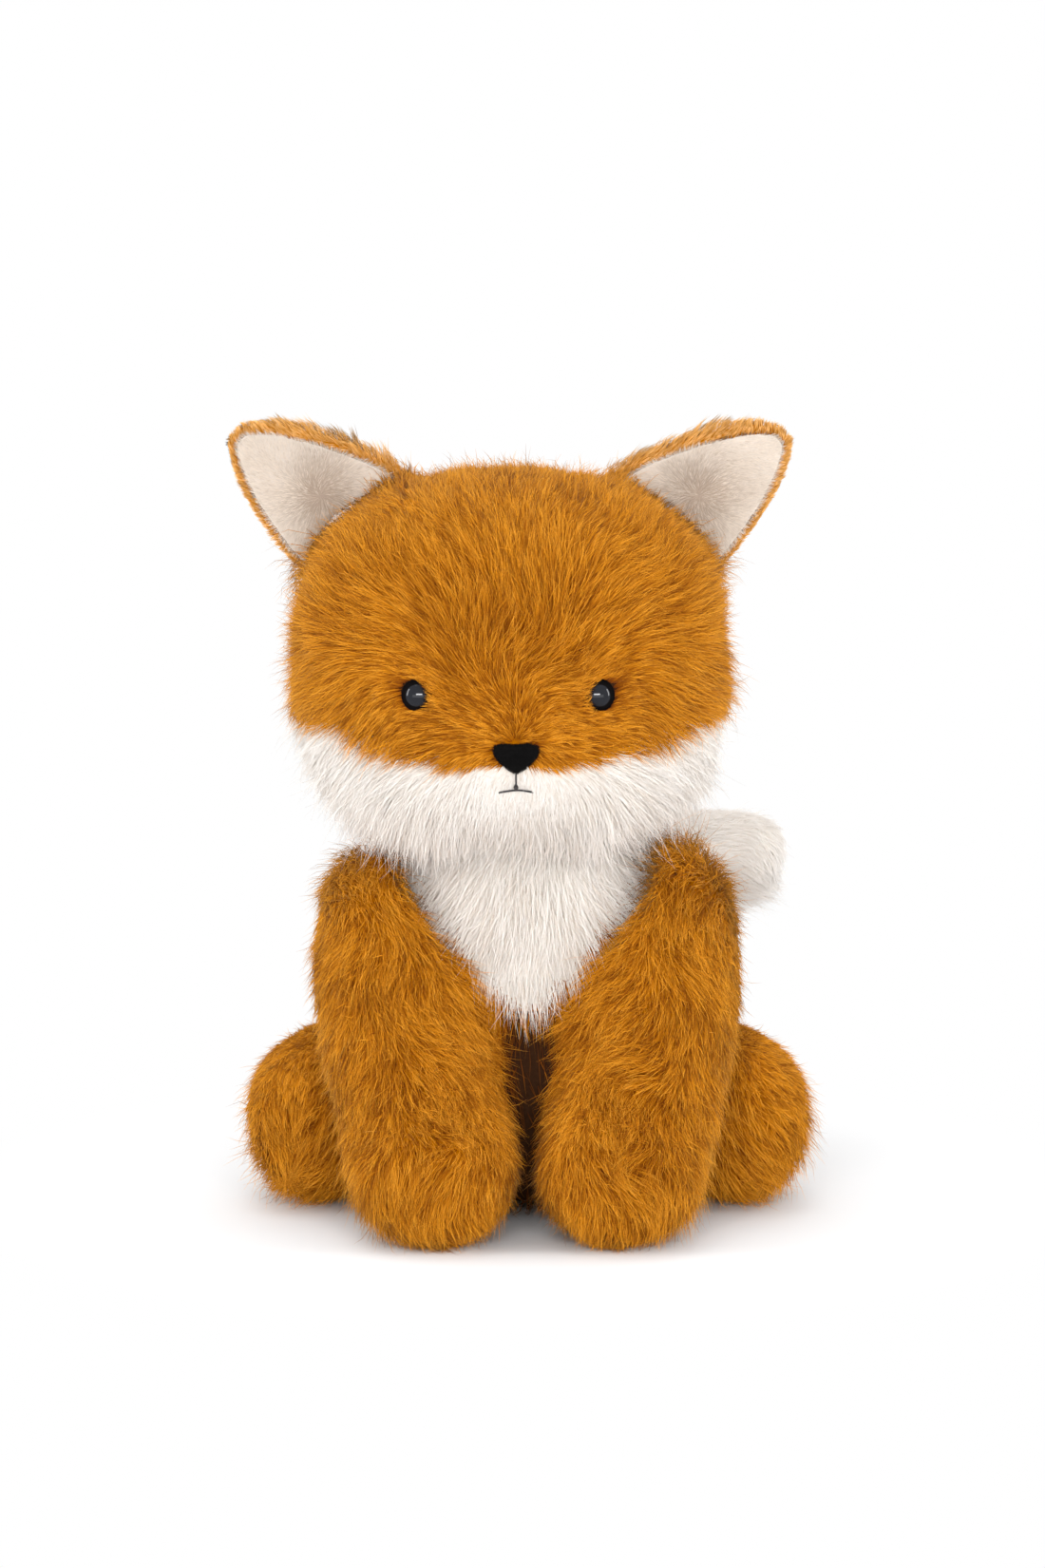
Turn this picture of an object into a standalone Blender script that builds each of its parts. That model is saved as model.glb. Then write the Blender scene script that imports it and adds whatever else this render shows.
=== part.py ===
"""A seated plush fox, as the sewn and stuffed pieces that it is made of.

Metres, +Z up. The fox faces -Y and its own left side is +X. The origin is the middle of
the flat base panel that it sits on. Outer faces of the fur pieces are where the pile
becomes dense, and each fur piece is a bag that opens at its seam.
"""

import math

import bmesh
import bpy
from mathutils import Matrix, Vector
from mathutils.bvhtree import BVHTree

# Fits and cuts
CLEARANCE = 0.0003
SWING_GAP = 0.0005
PANEL_GAP = 0.0004
LIMB_GAP = 0.001
OVERRUN = 0.003
STAND_CUT = 0.0005
MERGE = 0.00001
POINT_WEIGHT = 1

# Fur bags
FUR_WALL = 0.0045
STUFFING_GAP = 0.0007
FORM_SEGMENTS = 16
LIMB_SEGMENTS = 10
SMOOTHING = 1

# Neck: the round top of the body, on which the head's socket turns
NECK_RADIUS = 0.042
NECK_HEIGHT = 0.101
NECK_SET_BACK = -0.004
NECK_STEP = math.radians(25)
NECK_STEPS = 3
SOCKET_GAP = 0.0006
SOCKET_SEGMENTS = 24
SOCKET_RINGS = 16
NECK_MOUTH_RADIUS = 0.0375
NECK_PLUG_RADIUS = 0.013
NECK_PLUG_LOW = 0.030
NECK_PLUG_HIGH = 0.022
NECK_PLUG_BEVEL = 0.004
NECK_PLUG_SEGMENTS = 16
NOD_DOWN = math.radians(8)
NOD_UP = math.radians(12)

# Body below the neck
BODY_WIDTH = 0.116
BODY_DEPTH = 0.106
# Rings from the neck down: height as a share of the neck's, half width, half depth, set-back
BODY_RING_SHARES = (
    (0.88, 0.76, 0.79, -0.04),
    (0.67, 0.87, 0.88, -0.02),
    (0.40, 1.0, 1.0, 0.02),
    (0.145, 1.0, 1.0, 0.04),
    (-0.04, 0.82, 0.82, 0.04),
    (-0.04, 0.0, 0.0, 0.04),
)
BASE_PANEL_THICKNESS = 0.003
BIB_TOP_WIDTH = 0.084
BIB_RISE = 0.027
BIB_TOP = NECK_HEIGHT + BIB_RISE
BIB_TIP_SHARE = 0.574
BIB_BULGE_SHARE = 0.62
POUCH_WIDTH = 0.07
POUCH_DEPTH = 0.062
POUCH_HEIGHT = 0.026
POUCH_SEGMENTS = 16
POUCH_RINGS = 8

# Head
HEAD_SHIFT = -0.0055
HEAD_WIDTH = 0.14
HEAD_FRONT = 0.060
HEAD_BACK = 0.058
CROWN_HEIGHT = 0.064
CHIN_HEIGHT = 0.051
HEAD_LIFT = 0.070
HEAD_CENTRE = NECK_HEIGHT + HEAD_LIFT
HEAD_SET_BACK = -0.008
HEAD_RINGS = 9
CROWN_ROUND_SHARE = 0.785
CHIN_ROUND_SHARE = 0.70
MUZZLE_REACH = 0.012
MUZZLE_RADIUS = 0.044
MUZZLE_DROP = 0.024
CHEEK_DROP = 0.021
CHEEK_DIP = 0.004
CHEEK_BACK = 0.012
CHEEK_CORNER = 0.03

# Eyes, nose and mouth
EYE_DIAMETER = 0.0084
EYE_LIFT = 0.002
EYE_SPACING = 0.058
EYE_SINK = 0.0010
EYE_BULGE_SHARE = 0.8
EYE_SEGMENTS = 20
EYE_RINGS = 10
POST_SEGMENTS = 10
WASHER_SEGMENTS = 16
POST_DIAMETER = 0.0028
POST_LENGTH = 0.0115
WASHER_DIAMETER = 0.011
WASHER_THICKNESS = 0.0014
NOSE_WIDTH = 0.0152
NOSE_HEIGHT = 0.0095
NOSE_THICKNESS = 0.0056
NOSE_TIP_SHARE = 0.16
NOSE_CORNER_SHARE = 0.763
NOSE_DROP = 0.0145
NOSE_CENTRE = HEAD_CENTRE - NOSE_DROP
NOSE_SHIFT = 0.0020
NOSE_SINK = 0.0012
NOSE_SMOOTHING = 1
THREAD_DIAMETER = 0.0007
THREAD_SEGMENTS = 2
MOUTH_WIDTH = 0.014
MOUTH_RISE = 0.0009
MOUTH_DROP = 0.0065
MOUTH_POINTS = 7
KNOT_DIAMETER = 0.0016
KNOT_SEGMENTS = 10
KNOT_RINGS = 5

# Ears
EAR_BASE_SIDE = 0.048
EAR_BASE_RISE = 0.0435
EAR_BASE_HEIGHT = HEAD_CENTRE + EAR_BASE_RISE
EAR_SET_BACK = 0.0
EAR_LEAN = math.radians(50)
EAR_HEIGHT = 0.052
EAR_WIDTH = 0.050
EAR_ROOT = 0.012
EAR_TIP_WIDTH = 0.007
EAR_TAPER_SHARE = 0.69
EAR_CUP = 0.0075
EAR_BACK_THICKNESS = 0.0055
EAR_COLUMNS = 4
EAR_ROWS = 5
LINING_THICKNESS = 0.0022
LINING_MARGIN = 0.0034
LINING_GAP = 0.0005
EAR_FOLD_FORWARD = math.radians(20)
EAR_FOLD_BACK = math.radians(15)
EAR_STEPS = 4

# Front legs
SHOULDER_SIDE = 0.045
SHOULDER_SET_BACK = -0.018
SHOULDER_DROP = 0.009
SHOULDER_HEIGHT = NECK_HEIGHT - SHOULDER_DROP
FRONT_LEG_RISE = 0.018
FRONT_LEG_TOP = NECK_HEIGHT + FRONT_LEG_RISE
FRONT_LEG_WIDTH = 0.053
FRONT_LEG_DEPTH = 0.050
FRONT_PAW_SIDE = 0.0275
FRONT_PAW_REACH = 0.095
FRONT_PAW_BACK = 0.006
# Rings from the shoulder down to the toes: height, lean from shoulder to paw, reach, width, depth
FRONT_LEG_RING_SHARES = (
    (1.0, 0.0, 0.0, 0.0, 0.0),
    (0.95, 0.0, 0.07, 0.62, 0.62),
    (0.83, 0.0, 0.17, 0.90, 0.90),
    (0.64, 0.12, 0.31, 1.0, 1.0),
    (0.44, 0.45, 0.45, 1.02, 1.02),
    (0.26, 0.80, 0.60, 1.04, 1.08),
    (0.19, 1.0, 0.77, 1.04, 0.98),
    (0.175, 1.0, 0.93, 0.88, 0.80),
    (0.17, 1.0, 1.0, 0.0, 0.0),
)
SHOULDER_SWING = math.radians(40)
SHOULDER_STEPS = 6

# Hind legs
HIP_SIDE = 0.046
HIP_SET_BACK = 0.022
HIP_HEIGHT = 0.031
HIND_LEG_WIDTH = 0.048
HIND_LEG_HEIGHT = 0.0565
HIND_PAW_SIDE = 0.0705
HIND_PAW_REACH = 0.036
HIND_HEEL_BACK = 0.040
# Rings from the heel to the toes: run from back to front, spread, width and height
HIND_LEG_RING_SHARES = (
    (0.0, 0.0, 0.0, 0.0),
    (0.08, 0.05, 0.62, 0.62),
    (0.26, 0.28, 0.98, 0.95),
    (0.50, 0.62, 1.02, 1.02),
    (0.72, 0.88, 0.98, 1.0),
    (0.88, 1.0, 0.82, 0.86),
    (0.97, 1.0, 0.50, 0.56),
    (1.0, 1.0, 0.0, 0.0),
)
HIP_SWING = math.radians(30)
HIP_STEPS = 7
HIP_AXIS_TILT = math.radians(37)

# Tail
TAIL_ROOT_SIDE = 0.003
TAIL_ROOT_BACK = 0.036
TAIL_ROOT_HEIGHT = 0.036
TAIL_SPAN = 0.080
TAIL_RISE = 0.060
TAIL_BACK_REACH = 0.036
TAIL_THICKNESS = 0.036
# Rings from the root to the tip: span to the side, rise, reach to the back, thickness
TAIL_RING_SHARES = (
    (0.0, 0.0, 0.0, 0.0),
    (0.0, 0.01, 0.22, 0.66),
    (0.01, 0.14, 0.62, 0.82),
    (0.09, 0.45, 0.95, 0.95),
    (0.27, 0.76, 1.0, 1.0),
    (0.50, 0.95, 0.97, 1.04),
    (0.72, 1.02, 0.92, 1.04),
    (0.88, 1.01, 0.86, 0.90),
    (0.97, 0.99, 0.83, 0.55),
    (1.0, 0.98, 0.82, 0.0),
)
TAIL_WHITE_SHARE = 0.36
TAIL_WAG = math.radians(20)
TAIL_STEPS = 5

SIDES = {"left": 1, "right": -1}

# Colours and finishes: base colour, roughness and metallic
ORANGE_FUR = ("orange_fur", (0.58, 0.195, 0.012, 1), 0.9, 0.0)
WHITE_FUR = ("white_fur", (0.87, 0.81, 0.75, 1), 0.9, 0.0)
SHORT_PILE = ("short_orange_pile", (0.56, 0.22, 0.035, 1), 0.85, 0.0)
CREAM_MINKY = ("cream_minky", (0.80, 0.71, 0.62, 1), 0.7, 0.0)
STUFFING = ("polyester_stuffing", (0.9, 0.9, 0.88, 1), 1.0, 0.0)
PELLET_CLOTH = ("pellet_bag_cloth", (0.75, 0.74, 0.70, 1), 0.9, 0.0)
BLACK_EYE = ("black_eye_plastic", (0.006, 0.006, 0.008, 1), 0.05, 0.0)
WASHER_PLASTIC = ("washer_plastic", (0.8, 0.8, 0.8, 1), 0.4, 0.0)
BLACK_FLOCK = ("black_flock", (0.008, 0.007, 0.007, 1), 0.8, 0.0)
DARK_THREAD = ("dark_thread", (0.02, 0.015, 0.015, 1), 0.7, 0.0)


def clear_scene():
    for found in list(bpy.data.objects):
        bpy.data.objects.remove(found)


def new_collection(name):
    collection = bpy.data.collections.new(name)
    bpy.context.scene.collection.children.link(collection)
    return collection


def material(finish):
    name, colour, roughness, metallic = finish
    made = bpy.data.materials.get(name)
    if made is None:
        made = bpy.data.materials.new(name)
        made.use_nodes = True
        shader = made.node_tree.nodes["Principled BSDF"]
        shader.inputs["Base Color"].default_value = colour
        shader.inputs["Roughness"].default_value = roughness
        shader.inputs["Metallic"].default_value = metallic
        made.diffuse_color = colour
    return made


def from_bmesh(name, bm, collection, smooth=True):
    mesh = bpy.data.meshes.new(name)
    bm.to_mesh(mesh)
    bm.free()
    made = bpy.data.objects.new(name, mesh)
    collection.objects.link(made)
    if smooth:
        mesh.shade_smooth()
    return made


def as_part(made, finish):
    made.data.materials.clear()
    made.data.materials.append(material(finish))
    return made


def as_cutter(made):
    made.hide_render = True
    made.display_type = "WIRE"
    return made


def smoothed(made, levels):
    smooth = made.modifiers.new("smooth", "SUBSURF")
    smooth.levels = levels
    smooth.render_levels = levels
    return made


def flat_faced(made):
    """Splits a form's bent quads, so that each face that is cut is flat."""
    made.modifiers.new("flat faces", "TRIANGULATE")
    return made


def boolean(made, other, operation="DIFFERENCE"):
    cut = made.modifiers.new("cut", "BOOLEAN")
    cut.operation = operation
    cut.object = other
    cut.solver = "EXACT"
    return made


def evaluated_mesh(made):
    bpy.context.view_layer.update()
    return bpy.data.meshes.new_from_object(made.evaluated_get(bpy.context.evaluated_depsgraph_get()))


def swept_copy(cutter, pivot, turn, label):
    """A copy of a cutter turned about a pivot, for what a joint sweeps."""
    copy = bpy.data.objects.new(f"{cutter.name}_{label}", cutter.data)
    smoothed(copy, SMOOTHING)
    flat_faced(copy)
    for collection in cutter.users_collection:
        collection.objects.link(copy)
    copy.matrix_world = about(pivot, turn)
    return as_cutter(copy)


def about(pivot, turn):
    """A turn about a point, as one matrix."""
    return Matrix.Translation(pivot) @ turn @ Matrix.Translation(-pivot)


def block(name, low, high, collection):
    bm = bmesh.new()
    bmesh.ops.create_cube(bm, size=1)
    size = high - low
    middle = (high + low) / 2
    for vertex in bm.verts:
        vertex.co = Vector([c * s for c, s in zip(vertex.co, size)]) + middle
    return as_cutter(from_bmesh(name, bm, collection, smooth=False))


def cylinder(name, radius, start, end, segments, collection):
    along = end - start
    bm = bmesh.new()
    bmesh.ops.create_cone(
        bm, cap_ends=True, segments=segments, radius1=radius, radius2=radius, depth=along.length
    )
    place = Matrix.Translation((start + end) / 2) @ along.to_track_quat("Z", "Y").to_matrix().to_4x4()
    bmesh.ops.transform(bm, matrix=place, verts=bm.verts)
    return from_bmesh(name, bm, collection)


def ball(name, sizes, centre, segments, rings, collection):
    bm = bmesh.new()
    bmesh.ops.create_uvsphere(bm, u_segments=segments, v_segments=rings, radius=1)
    for vertex in bm.verts:
        vertex.co = Vector([c * s / 2 for c, s in zip(vertex.co, sizes)]) + centre
    return from_bmesh(name, bm, collection)


class Ring:
    """One ring of a form: its centre and its half width and half depth."""

    def __init__(self, centre, half_width, half_depth):
        self.centre = Vector(centre)
        self.half_width = half_width
        self.half_depth = half_depth


def cage_growth(segments):
    """How much larger a cage's ring is than the smooth ring that subdivision makes of it."""
    return 3 / (2 + math.cos(math.tau / segments))


def along_rings(rings, index):
    """The direction in which a form's rings run at one of them."""
    before = rings[max(index - 1, 0)].centre
    after = rings[min(index + 1, len(rings) - 1)].centre
    return (after - before).normalized()


def grown_rings(rings, outset):
    """The rings moved and widened so that the whole form grows by outset on all sides."""
    grown = []
    for index, ring in enumerate(rings):
        along = along_rings(rings, index)
        before = rings[max(index - 1, 0)]
        after = rings[min(index + 1, len(rings) - 1)]
        if index in (0, len(rings) - 1):
            grown.append(Ring(ring.centre + along * (outset if index else -outset), 0, 0))
            continue
        run = (after.centre - before.centre).length
        wider = (after.half_width + after.half_depth - before.half_width - before.half_depth) / 2
        slope = math.hypot(run, wider)
        centre = ring.centre - along * (outset * wider / slope)
        sideways = outset * run / slope
        grown.append(Ring(centre, ring.half_width + sideways, ring.half_depth + sideways))
    return grown


def ring_form(name, rings, segments, levels, collection, outset=0, level_rings=False, push=None):
    """A closed soft form: a ball cage whose rings follow the given ones, then subdivided.

    The first and last ring are its two poles. outset grows it on all sides, or shrinks it.
    push says how far each point of the plain form is drawn out of it.
    """
    growth = cage_growth(segments) if levels else 1
    sized = grown_rings(rings, outset)
    bm = bmesh.new()
    bmesh.ops.create_uvsphere(bm, u_segments=segments, v_segments=len(rings) - 1, radius=1)
    for vertex in bm.verts:
        index = round(math.acos(max(-1, min(1, vertex.co.z))) / math.pi * (len(rings) - 1))
        ring = rings[index]
        grown = sized[index]
        along = Vector((0, 0, -1)) if level_rings else along_rings(rings, index)
        across = (Vector((1, 0, 0)) - along * along.x).normalized()
        back = (-along).cross(across)
        if index in (0, len(rings) - 1):
            vertex.co = grown.centre
            continue
        angle = math.atan2(vertex.co.y, vertex.co.x)
        sideways = across * math.cos(angle)
        backwards = back * math.sin(angle)
        plain = ring.centre + sideways * ring.half_width + backwards * ring.half_depth
        wide = grown.half_width * growth
        deep = grown.half_depth * growth
        vertex.co = grown.centre + sideways * wide + backwards * deep
        if push:
            vertex.co += push(plain)
    made = from_bmesh(name, bm, collection)
    if levels:
        smoothed(made, levels)
    return flat_faced(made)


def body_rings():
    """The round neck dome on top, then the body's own rings down to its flat base."""
    radius = NECK_RADIUS * 3 / (2 + math.cos(NECK_STEP))
    rings = []
    for step in range(NECK_STEPS + 1):
        angle = NECK_STEP * step
        wide = radius * math.sin(angle)
        rings.append(Ring((0, NECK_SET_BACK, NECK_HEIGHT + radius * math.cos(angle)), wide, wide))
    for height, wide, deep, back in BODY_RING_SHARES:
        centre = (0, back * BODY_DEPTH, height * NECK_HEIGHT - STAND_CUT)
        rings.append(Ring(centre, wide * BODY_WIDTH / 2, deep * BODY_DEPTH / 2))
    return rings


def head_rings():
    """Rings of a squarish ball, taller above its widest ring than below it."""
    half_depth = (HEAD_FRONT + HEAD_BACK) / 2
    rings = []
    for index in range(HEAD_RINGS + 1):
        angle = math.pi * index / HEAD_RINGS
        upper = math.cos(angle) > 0
        power = CROWN_ROUND_SHARE if upper else CHIN_ROUND_SHARE
        level = abs(math.cos(angle)) ** power
        round_share = abs(math.sin(angle)) ** power if 0 < index < HEAD_RINGS else 0
        height = HEAD_CENTRE + (level * CROWN_HEIGHT if upper else -level * CHIN_HEIGHT)
        centre = (HEAD_SHIFT, HEAD_SET_BACK + (HEAD_BACK - HEAD_FRONT) / 2, height)
        rings.append(Ring(centre, round_share * HEAD_WIDTH / 2, round_share * half_depth))
    return rings


def front_leg_rings(side):
    lean = SHOULDER_SIDE - FRONT_PAW_SIDE
    return [
        Ring(
            (
                side * (SHOULDER_SIDE - lean * inward),
                -FRONT_PAW_BACK - reach * (FRONT_PAW_REACH - FRONT_PAW_BACK),
                height * FRONT_LEG_TOP,
            ),
            wide * FRONT_LEG_WIDTH / 2,
            deep * FRONT_LEG_DEPTH / 2,
        )
        for height, inward, reach, wide, deep in FRONT_LEG_RING_SHARES
    ]


def on_floor(fox, rings):
    """The rings of a limb, moved up or down until its form is cut flat by the floor just so."""
    trial = limb_form("trial", rings, fox.cutters, SMOOTHING)
    mesh = evaluated_mesh(trial)
    lowest = min(vertex.co.z for vertex in mesh.vertices)
    bpy.data.meshes.remove(mesh)
    bpy.data.objects.remove(trial)
    for ring in rings:
        ring.centre.z -= lowest + STAND_CUT
    return rings


def hind_leg_rings(side):
    length = HIND_HEEL_BACK + HIND_PAW_REACH
    middle = HIND_LEG_HEIGHT / 2 - STAND_CUT
    return [
        Ring(
            (side * (HIP_SIDE + (HIND_PAW_SIDE - HIP_SIDE) * spread), HIND_HEEL_BACK - run * length, middle),
            wide * HIND_LEG_WIDTH / 2,
            tall * HIND_LEG_HEIGHT / 2,
        )
        for run, spread, wide, tall in HIND_LEG_RING_SHARES
    ]


def tail_rings():
    return [
        Ring(
            (
                TAIL_ROOT_SIDE + span * TAIL_SPAN,
                TAIL_ROOT_BACK + back * TAIL_BACK_REACH,
                TAIL_ROOT_HEIGHT + rise * TAIL_RISE,
            ),
            thick * TAIL_THICKNESS / 2,
            thick * TAIL_THICKNESS / 2,
        )
        for span, rise, back, thick in TAIL_RING_SHARES
    ]


def muzzle_push(point):
    """How far the lower face is drawn out, into a short round muzzle."""
    if point.y > HEAD_SET_BACK:
        return Vector((0, 0, 0))
    away = math.hypot(point.x - HEAD_SHIFT, point.z - HEAD_CENTRE + MUZZLE_DROP)
    return Vector((0, -MUZZLE_REACH * max(0, 1 - (away / MUZZLE_RADIUS) ** 2), 0))


def head_form(name, collection, levels, outset=0):
    return ring_form(
        name, head_rings(), FORM_SEGMENTS, levels, collection, outset, level_rings=True, push=muzzle_push
    )


def body_form(name, collection, levels, outset=0):
    return ring_form(name, body_rings(), FORM_SEGMENTS, levels, collection, outset, level_rings=True)


def limb_form(name, rings, collection, levels, outset=0):
    return ring_form(name, rings, LIMB_SEGMENTS, levels, collection, outset)


def turned(axis, angle):
    return Matrix.Rotation(angle, 4, axis)


def between(low, high, steps):
    return [low + (high - low) * step / (steps - 1) for step in range(steps)]


def neck_point():
    return Vector((0, NECK_SET_BACK, NECK_HEIGHT))


class Surface:
    """The outer surface of a form, for seating small pieces on it."""

    def __init__(self, made):
        mesh = evaluated_mesh(made)
        bm = bmesh.new()
        bm.from_mesh(mesh)
        self.tree = BVHTree.FromBMesh(bm)
        bm.free()
        bpy.data.meshes.remove(mesh)

    def front_at(self, x, z):
        """The point straight ahead of the form at a side and a height, with its normal."""
        start = Vector((x, -HEAD_WIDTH * 2, z))
        point, normal, _, _ = self.tree.ray_cast(start, Vector((0, 1, 0)))
        return point, normal


class Fox:
    """Everything that the pieces share: collections, the forms that cut, and the joints."""

    def __init__(self):
        clear_scene()
        self.parts = new_collection("plush_fox")
        self.cutters = new_collection("cutters")
        self.head_clear = as_cutter(head_form("head_clear", self.cutters, SMOOTHING, CLEARANCE))
        self.body_clear = as_cutter(body_form("body_clear", self.cutters, SMOOTHING, SWING_GAP))
        self.face = Surface(self.head_clear)
        self.floor = block(
            "below_floor",
            Vector((-BODY_WIDTH, -BODY_WIDTH, -NECK_HEIGHT)),
            Vector((BODY_WIDTH, BODY_WIDTH, 0)),
            self.cutters,
        )

def sweep(cutter, pivot, turns, label):
    """The copies of a cutter at each of a joint's turns."""
    return [swept_copy(cutter, pivot, turn, f"{label}_{index}") for index, turn in enumerate(turns)]


def cut_all(made, cutters):
    for cutter in cutters:
        boolean(made, cutter)


def build_body(fox):
    inner = as_cutter(body_form("body_inner", fox.cutters, 0, -FUR_WALL))
    plug_room = as_cutter(neck_plug("neck_plug_room", CLEARANCE, fox.cutters))
    body = as_part(body_form("body_fur", fox.parts, SMOOTHING), ORANGE_FUR)
    chest = as_part(body_form("bib_fur", fox.parts, SMOOTHING), WHITE_FUR)
    boolean(chest, bib_cutter(fox, "bib_panel", 0), "INTERSECT")
    boolean(body, bib_cutter(fox, "bib_clear", PANEL_GAP))
    for made in (body, chest):
        boolean(made, inner)
        boolean(made, plug_room)
    boolean(body, fox.floor)
    boolean(body, as_cutter(base_prism("base_opening", 0, -OVERRUN, FUR_WALL + OVERRUN, fox.cutters)))
    as_part(base_prism("base_panel", -CLEARANCE, 0, BASE_PANEL_THICKNESS, fox.parts), ORANGE_FUR)
    build_body_filling(fox, plug_room)


def neck_plug(name, outset, collection):
    """The firm wad of stuffing that stands in the neck, from the body up into the head."""
    low = Vector((0, NECK_SET_BACK, NECK_HEIGHT + NECK_RADIUS - NECK_PLUG_LOW - outset))
    high = Vector((0, NECK_SET_BACK, NECK_HEIGHT + NECK_RADIUS + NECK_PLUG_HIGH + outset))
    return cylinder(name, NECK_PLUG_RADIUS + outset, low, high, NECK_PLUG_SEGMENTS, collection)


def bib_cutter(fox, name, outset):
    """The bib's V as a flat outline, pushed through the front half of the body."""
    curve = bpy.data.curves.new(name, "CURVE")
    curve.dimensions = "2D"
    curve.fill_mode = "BOTH"
    curve.extrude = BODY_DEPTH / 2
    tip = BIB_TIP_SHARE * NECK_HEIGHT
    middle = (BIB_TOP + tip) / 2
    wide = BIB_TOP_WIDTH / 2 + outset
    top = NECK_HEIGHT + 2 * NECK_RADIUS
    outline = (
        (-wide, top),
        (-wide, BIB_TOP),
        (-wide * BIB_BULGE_SHARE, middle),
        (0, tip - outset),
        (wide * BIB_BULGE_SHARE, middle),
        (wide, BIB_TOP),
        (wide, top),
    )
    line = curve.splines.new("POLY")
    line.points.add(len(outline) - 1)
    for point, (x, z) in zip(line.points, outline):
        point.co = (x, z, 0, POINT_WEIGHT)
    line.use_cyclic_u = True
    made = bpy.data.objects.new(name, curve)
    fox.cutters.objects.link(made)
    stand_up = Matrix.Rotation(math.pi / 2, 4, "X")
    made.matrix_world = Matrix.Translation((0, -BODY_DEPTH / 2, 0)) @ stand_up
    return as_cutter(meshed(made, fox.cutters))


def meshed(made, collection):
    """A curve object as a closed mesh object of the same name and place."""
    name = made.name
    mesh = evaluated_mesh(made)
    place = made.matrix_world.copy()
    bpy.data.objects.remove(made)
    bm = bmesh.new()
    bm.from_mesh(mesh)
    bpy.data.meshes.remove(mesh)
    bmesh.ops.remove_doubles(bm, verts=bm.verts, dist=MERGE)
    bmesh.ops.transform(bm, matrix=place, verts=bm.verts)
    return from_bmesh(name, bm, collection, smooth=False)


def base_prism(name, outset, low, high, collection):
    """An upright oval prism inside the base: its opening, or the panel that fills it."""
    _, wide, deep, back = BODY_RING_SHARES[-2]
    half_width = wide * BODY_WIDTH / 2 - FUR_WALL + outset
    half_depth = deep * BODY_DEPTH / 2 - FUR_WALL + outset
    bm = bmesh.new()
    bmesh.ops.create_cone(bm, cap_ends=True, segments=2 * FORM_SEGMENTS, radius1=1, radius2=1, depth=1)
    for vertex in bm.verts:
        level = high if vertex.co.z > 0 else low
        vertex.co = Vector((vertex.co.x * half_width, vertex.co.y * half_depth + back * BODY_DEPTH, level))
    return from_bmesh(name, bm, collection, smooth=False)


def build_body_filling(fox, plug_room):
    """The loose stuffing, and the bag of pellets that gives the fox its weight low down."""
    _, _, _, back = BODY_RING_SHARES[-2]
    pouch_low = BASE_PANEL_THICKNESS + CLEARANCE
    centre = Vector((0, back * BODY_DEPTH, pouch_low + POUCH_HEIGHT / 2))
    size = Vector((POUCH_WIDTH, POUCH_DEPTH, POUCH_HEIGHT))
    room_size = size + 2 * Vector([CLEARANCE] * 3)
    pouch = ball("bean_pouch", size, centre, POUCH_SEGMENTS, POUCH_RINGS, fox.parts)
    as_part(pouch, PELLET_CLOTH)
    room = as_cutter(ball("pouch_room", room_size, centre, POUCH_SEGMENTS, POUCH_RINGS, fox.cutters))
    under = block(
        "under_stuffing",
        Vector((-BODY_WIDTH, -BODY_WIDTH, -NECK_HEIGHT)),
        Vector((BODY_WIDTH, BODY_WIDTH, FUR_WALL)),
        fox.cutters,
    )
    stuffing = as_part(body_form("body_stuffing", fox.parts, 0, -FUR_WALL - STUFFING_GAP), STUFFING)
    for cutter in (under, room, plug_room):
        boolean(stuffing, cutter)


def build_neck(fox):
    plug = as_part(neck_plug("neck_plug", 0, fox.parts), STUFFING)
    soften = plug.modifiers.new("soften", "BEVEL")
    soften.width = NECK_PLUG_BEVEL
    soften.segments = 2


def neck_socket(fox):
    """The ball on which the head turns, and the room in the head that the neck plug swings in."""
    facet = math.cos(math.pi / SOCKET_SEGMENTS)
    size = 2 * (NECK_RADIUS + SOCKET_GAP) / facet
    socket = ball("neck_socket", [size] * 3, neck_point(), SOCKET_SEGMENTS, SOCKET_RINGS, fox.cutters)
    nod = max(NOD_UP, NOD_DOWN)
    facet = math.cos(math.pi / NECK_PLUG_SEGMENTS)
    corner = math.hypot(NECK_RADIUS + NECK_PLUG_HIGH, NECK_PLUG_RADIUS) + CLEARANCE
    wide = (NECK_PLUG_RADIUS + corner * math.sin(nod) + CLEARANCE) / facet
    low = neck_point() + Vector((0, 0, NECK_RADIUS - 2 * OVERRUN))
    high = neck_point() + Vector((0, 0, corner))
    room = cylinder("neck_plug_swing", wide, low, high, NECK_PLUG_SEGMENTS, fox.cutters)
    return [as_cutter(socket), as_cutter(room)]


def cheek_cutter(fox, name, outset):
    """The white lower face, as a side outline pushed across the head."""
    curve = bpy.data.curves.new(name, "CURVE")
    curve.dimensions = "2D"
    curve.fill_mode = "BOTH"
    curve.extrude = HEAD_WIDTH
    top = HEAD_CENTRE - CHEEK_DROP + outset
    front = -HEAD_WIDTH
    back = CHEEK_BACK + outset
    outline = (
        (front, HEAD_CENTRE - HEAD_WIDTH),
        (front, top),
        (-HEAD_FRONT, top),
        (0, top - CHEEK_DIP),
        (back, top - CHEEK_CORNER / 2),
        (back + CHEEK_CORNER / 2, HEAD_CENTRE - CHIN_HEIGHT),
        (back + CHEEK_CORNER / 2, HEAD_CENTRE - HEAD_WIDTH),
    )
    line = curve.splines.new("POLY")
    line.points.add(len(outline) - 1)
    for point, (y, z) in zip(line.points, outline):
        point.co = (y, z, 0, POINT_WEIGHT)
    line.use_cyclic_u = True
    made = bpy.data.objects.new(name, curve)
    fox.cutters.objects.link(made)
    # The outline's own x runs along +Y and its y along +Z
    made.matrix_world = Matrix(((0, 0, 1, HEAD_SHIFT), (1, 0, 0, 0), (0, 1, 0, 0), (0, 0, 0, 1)))
    return as_cutter(meshed(made, fox.cutters))


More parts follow.
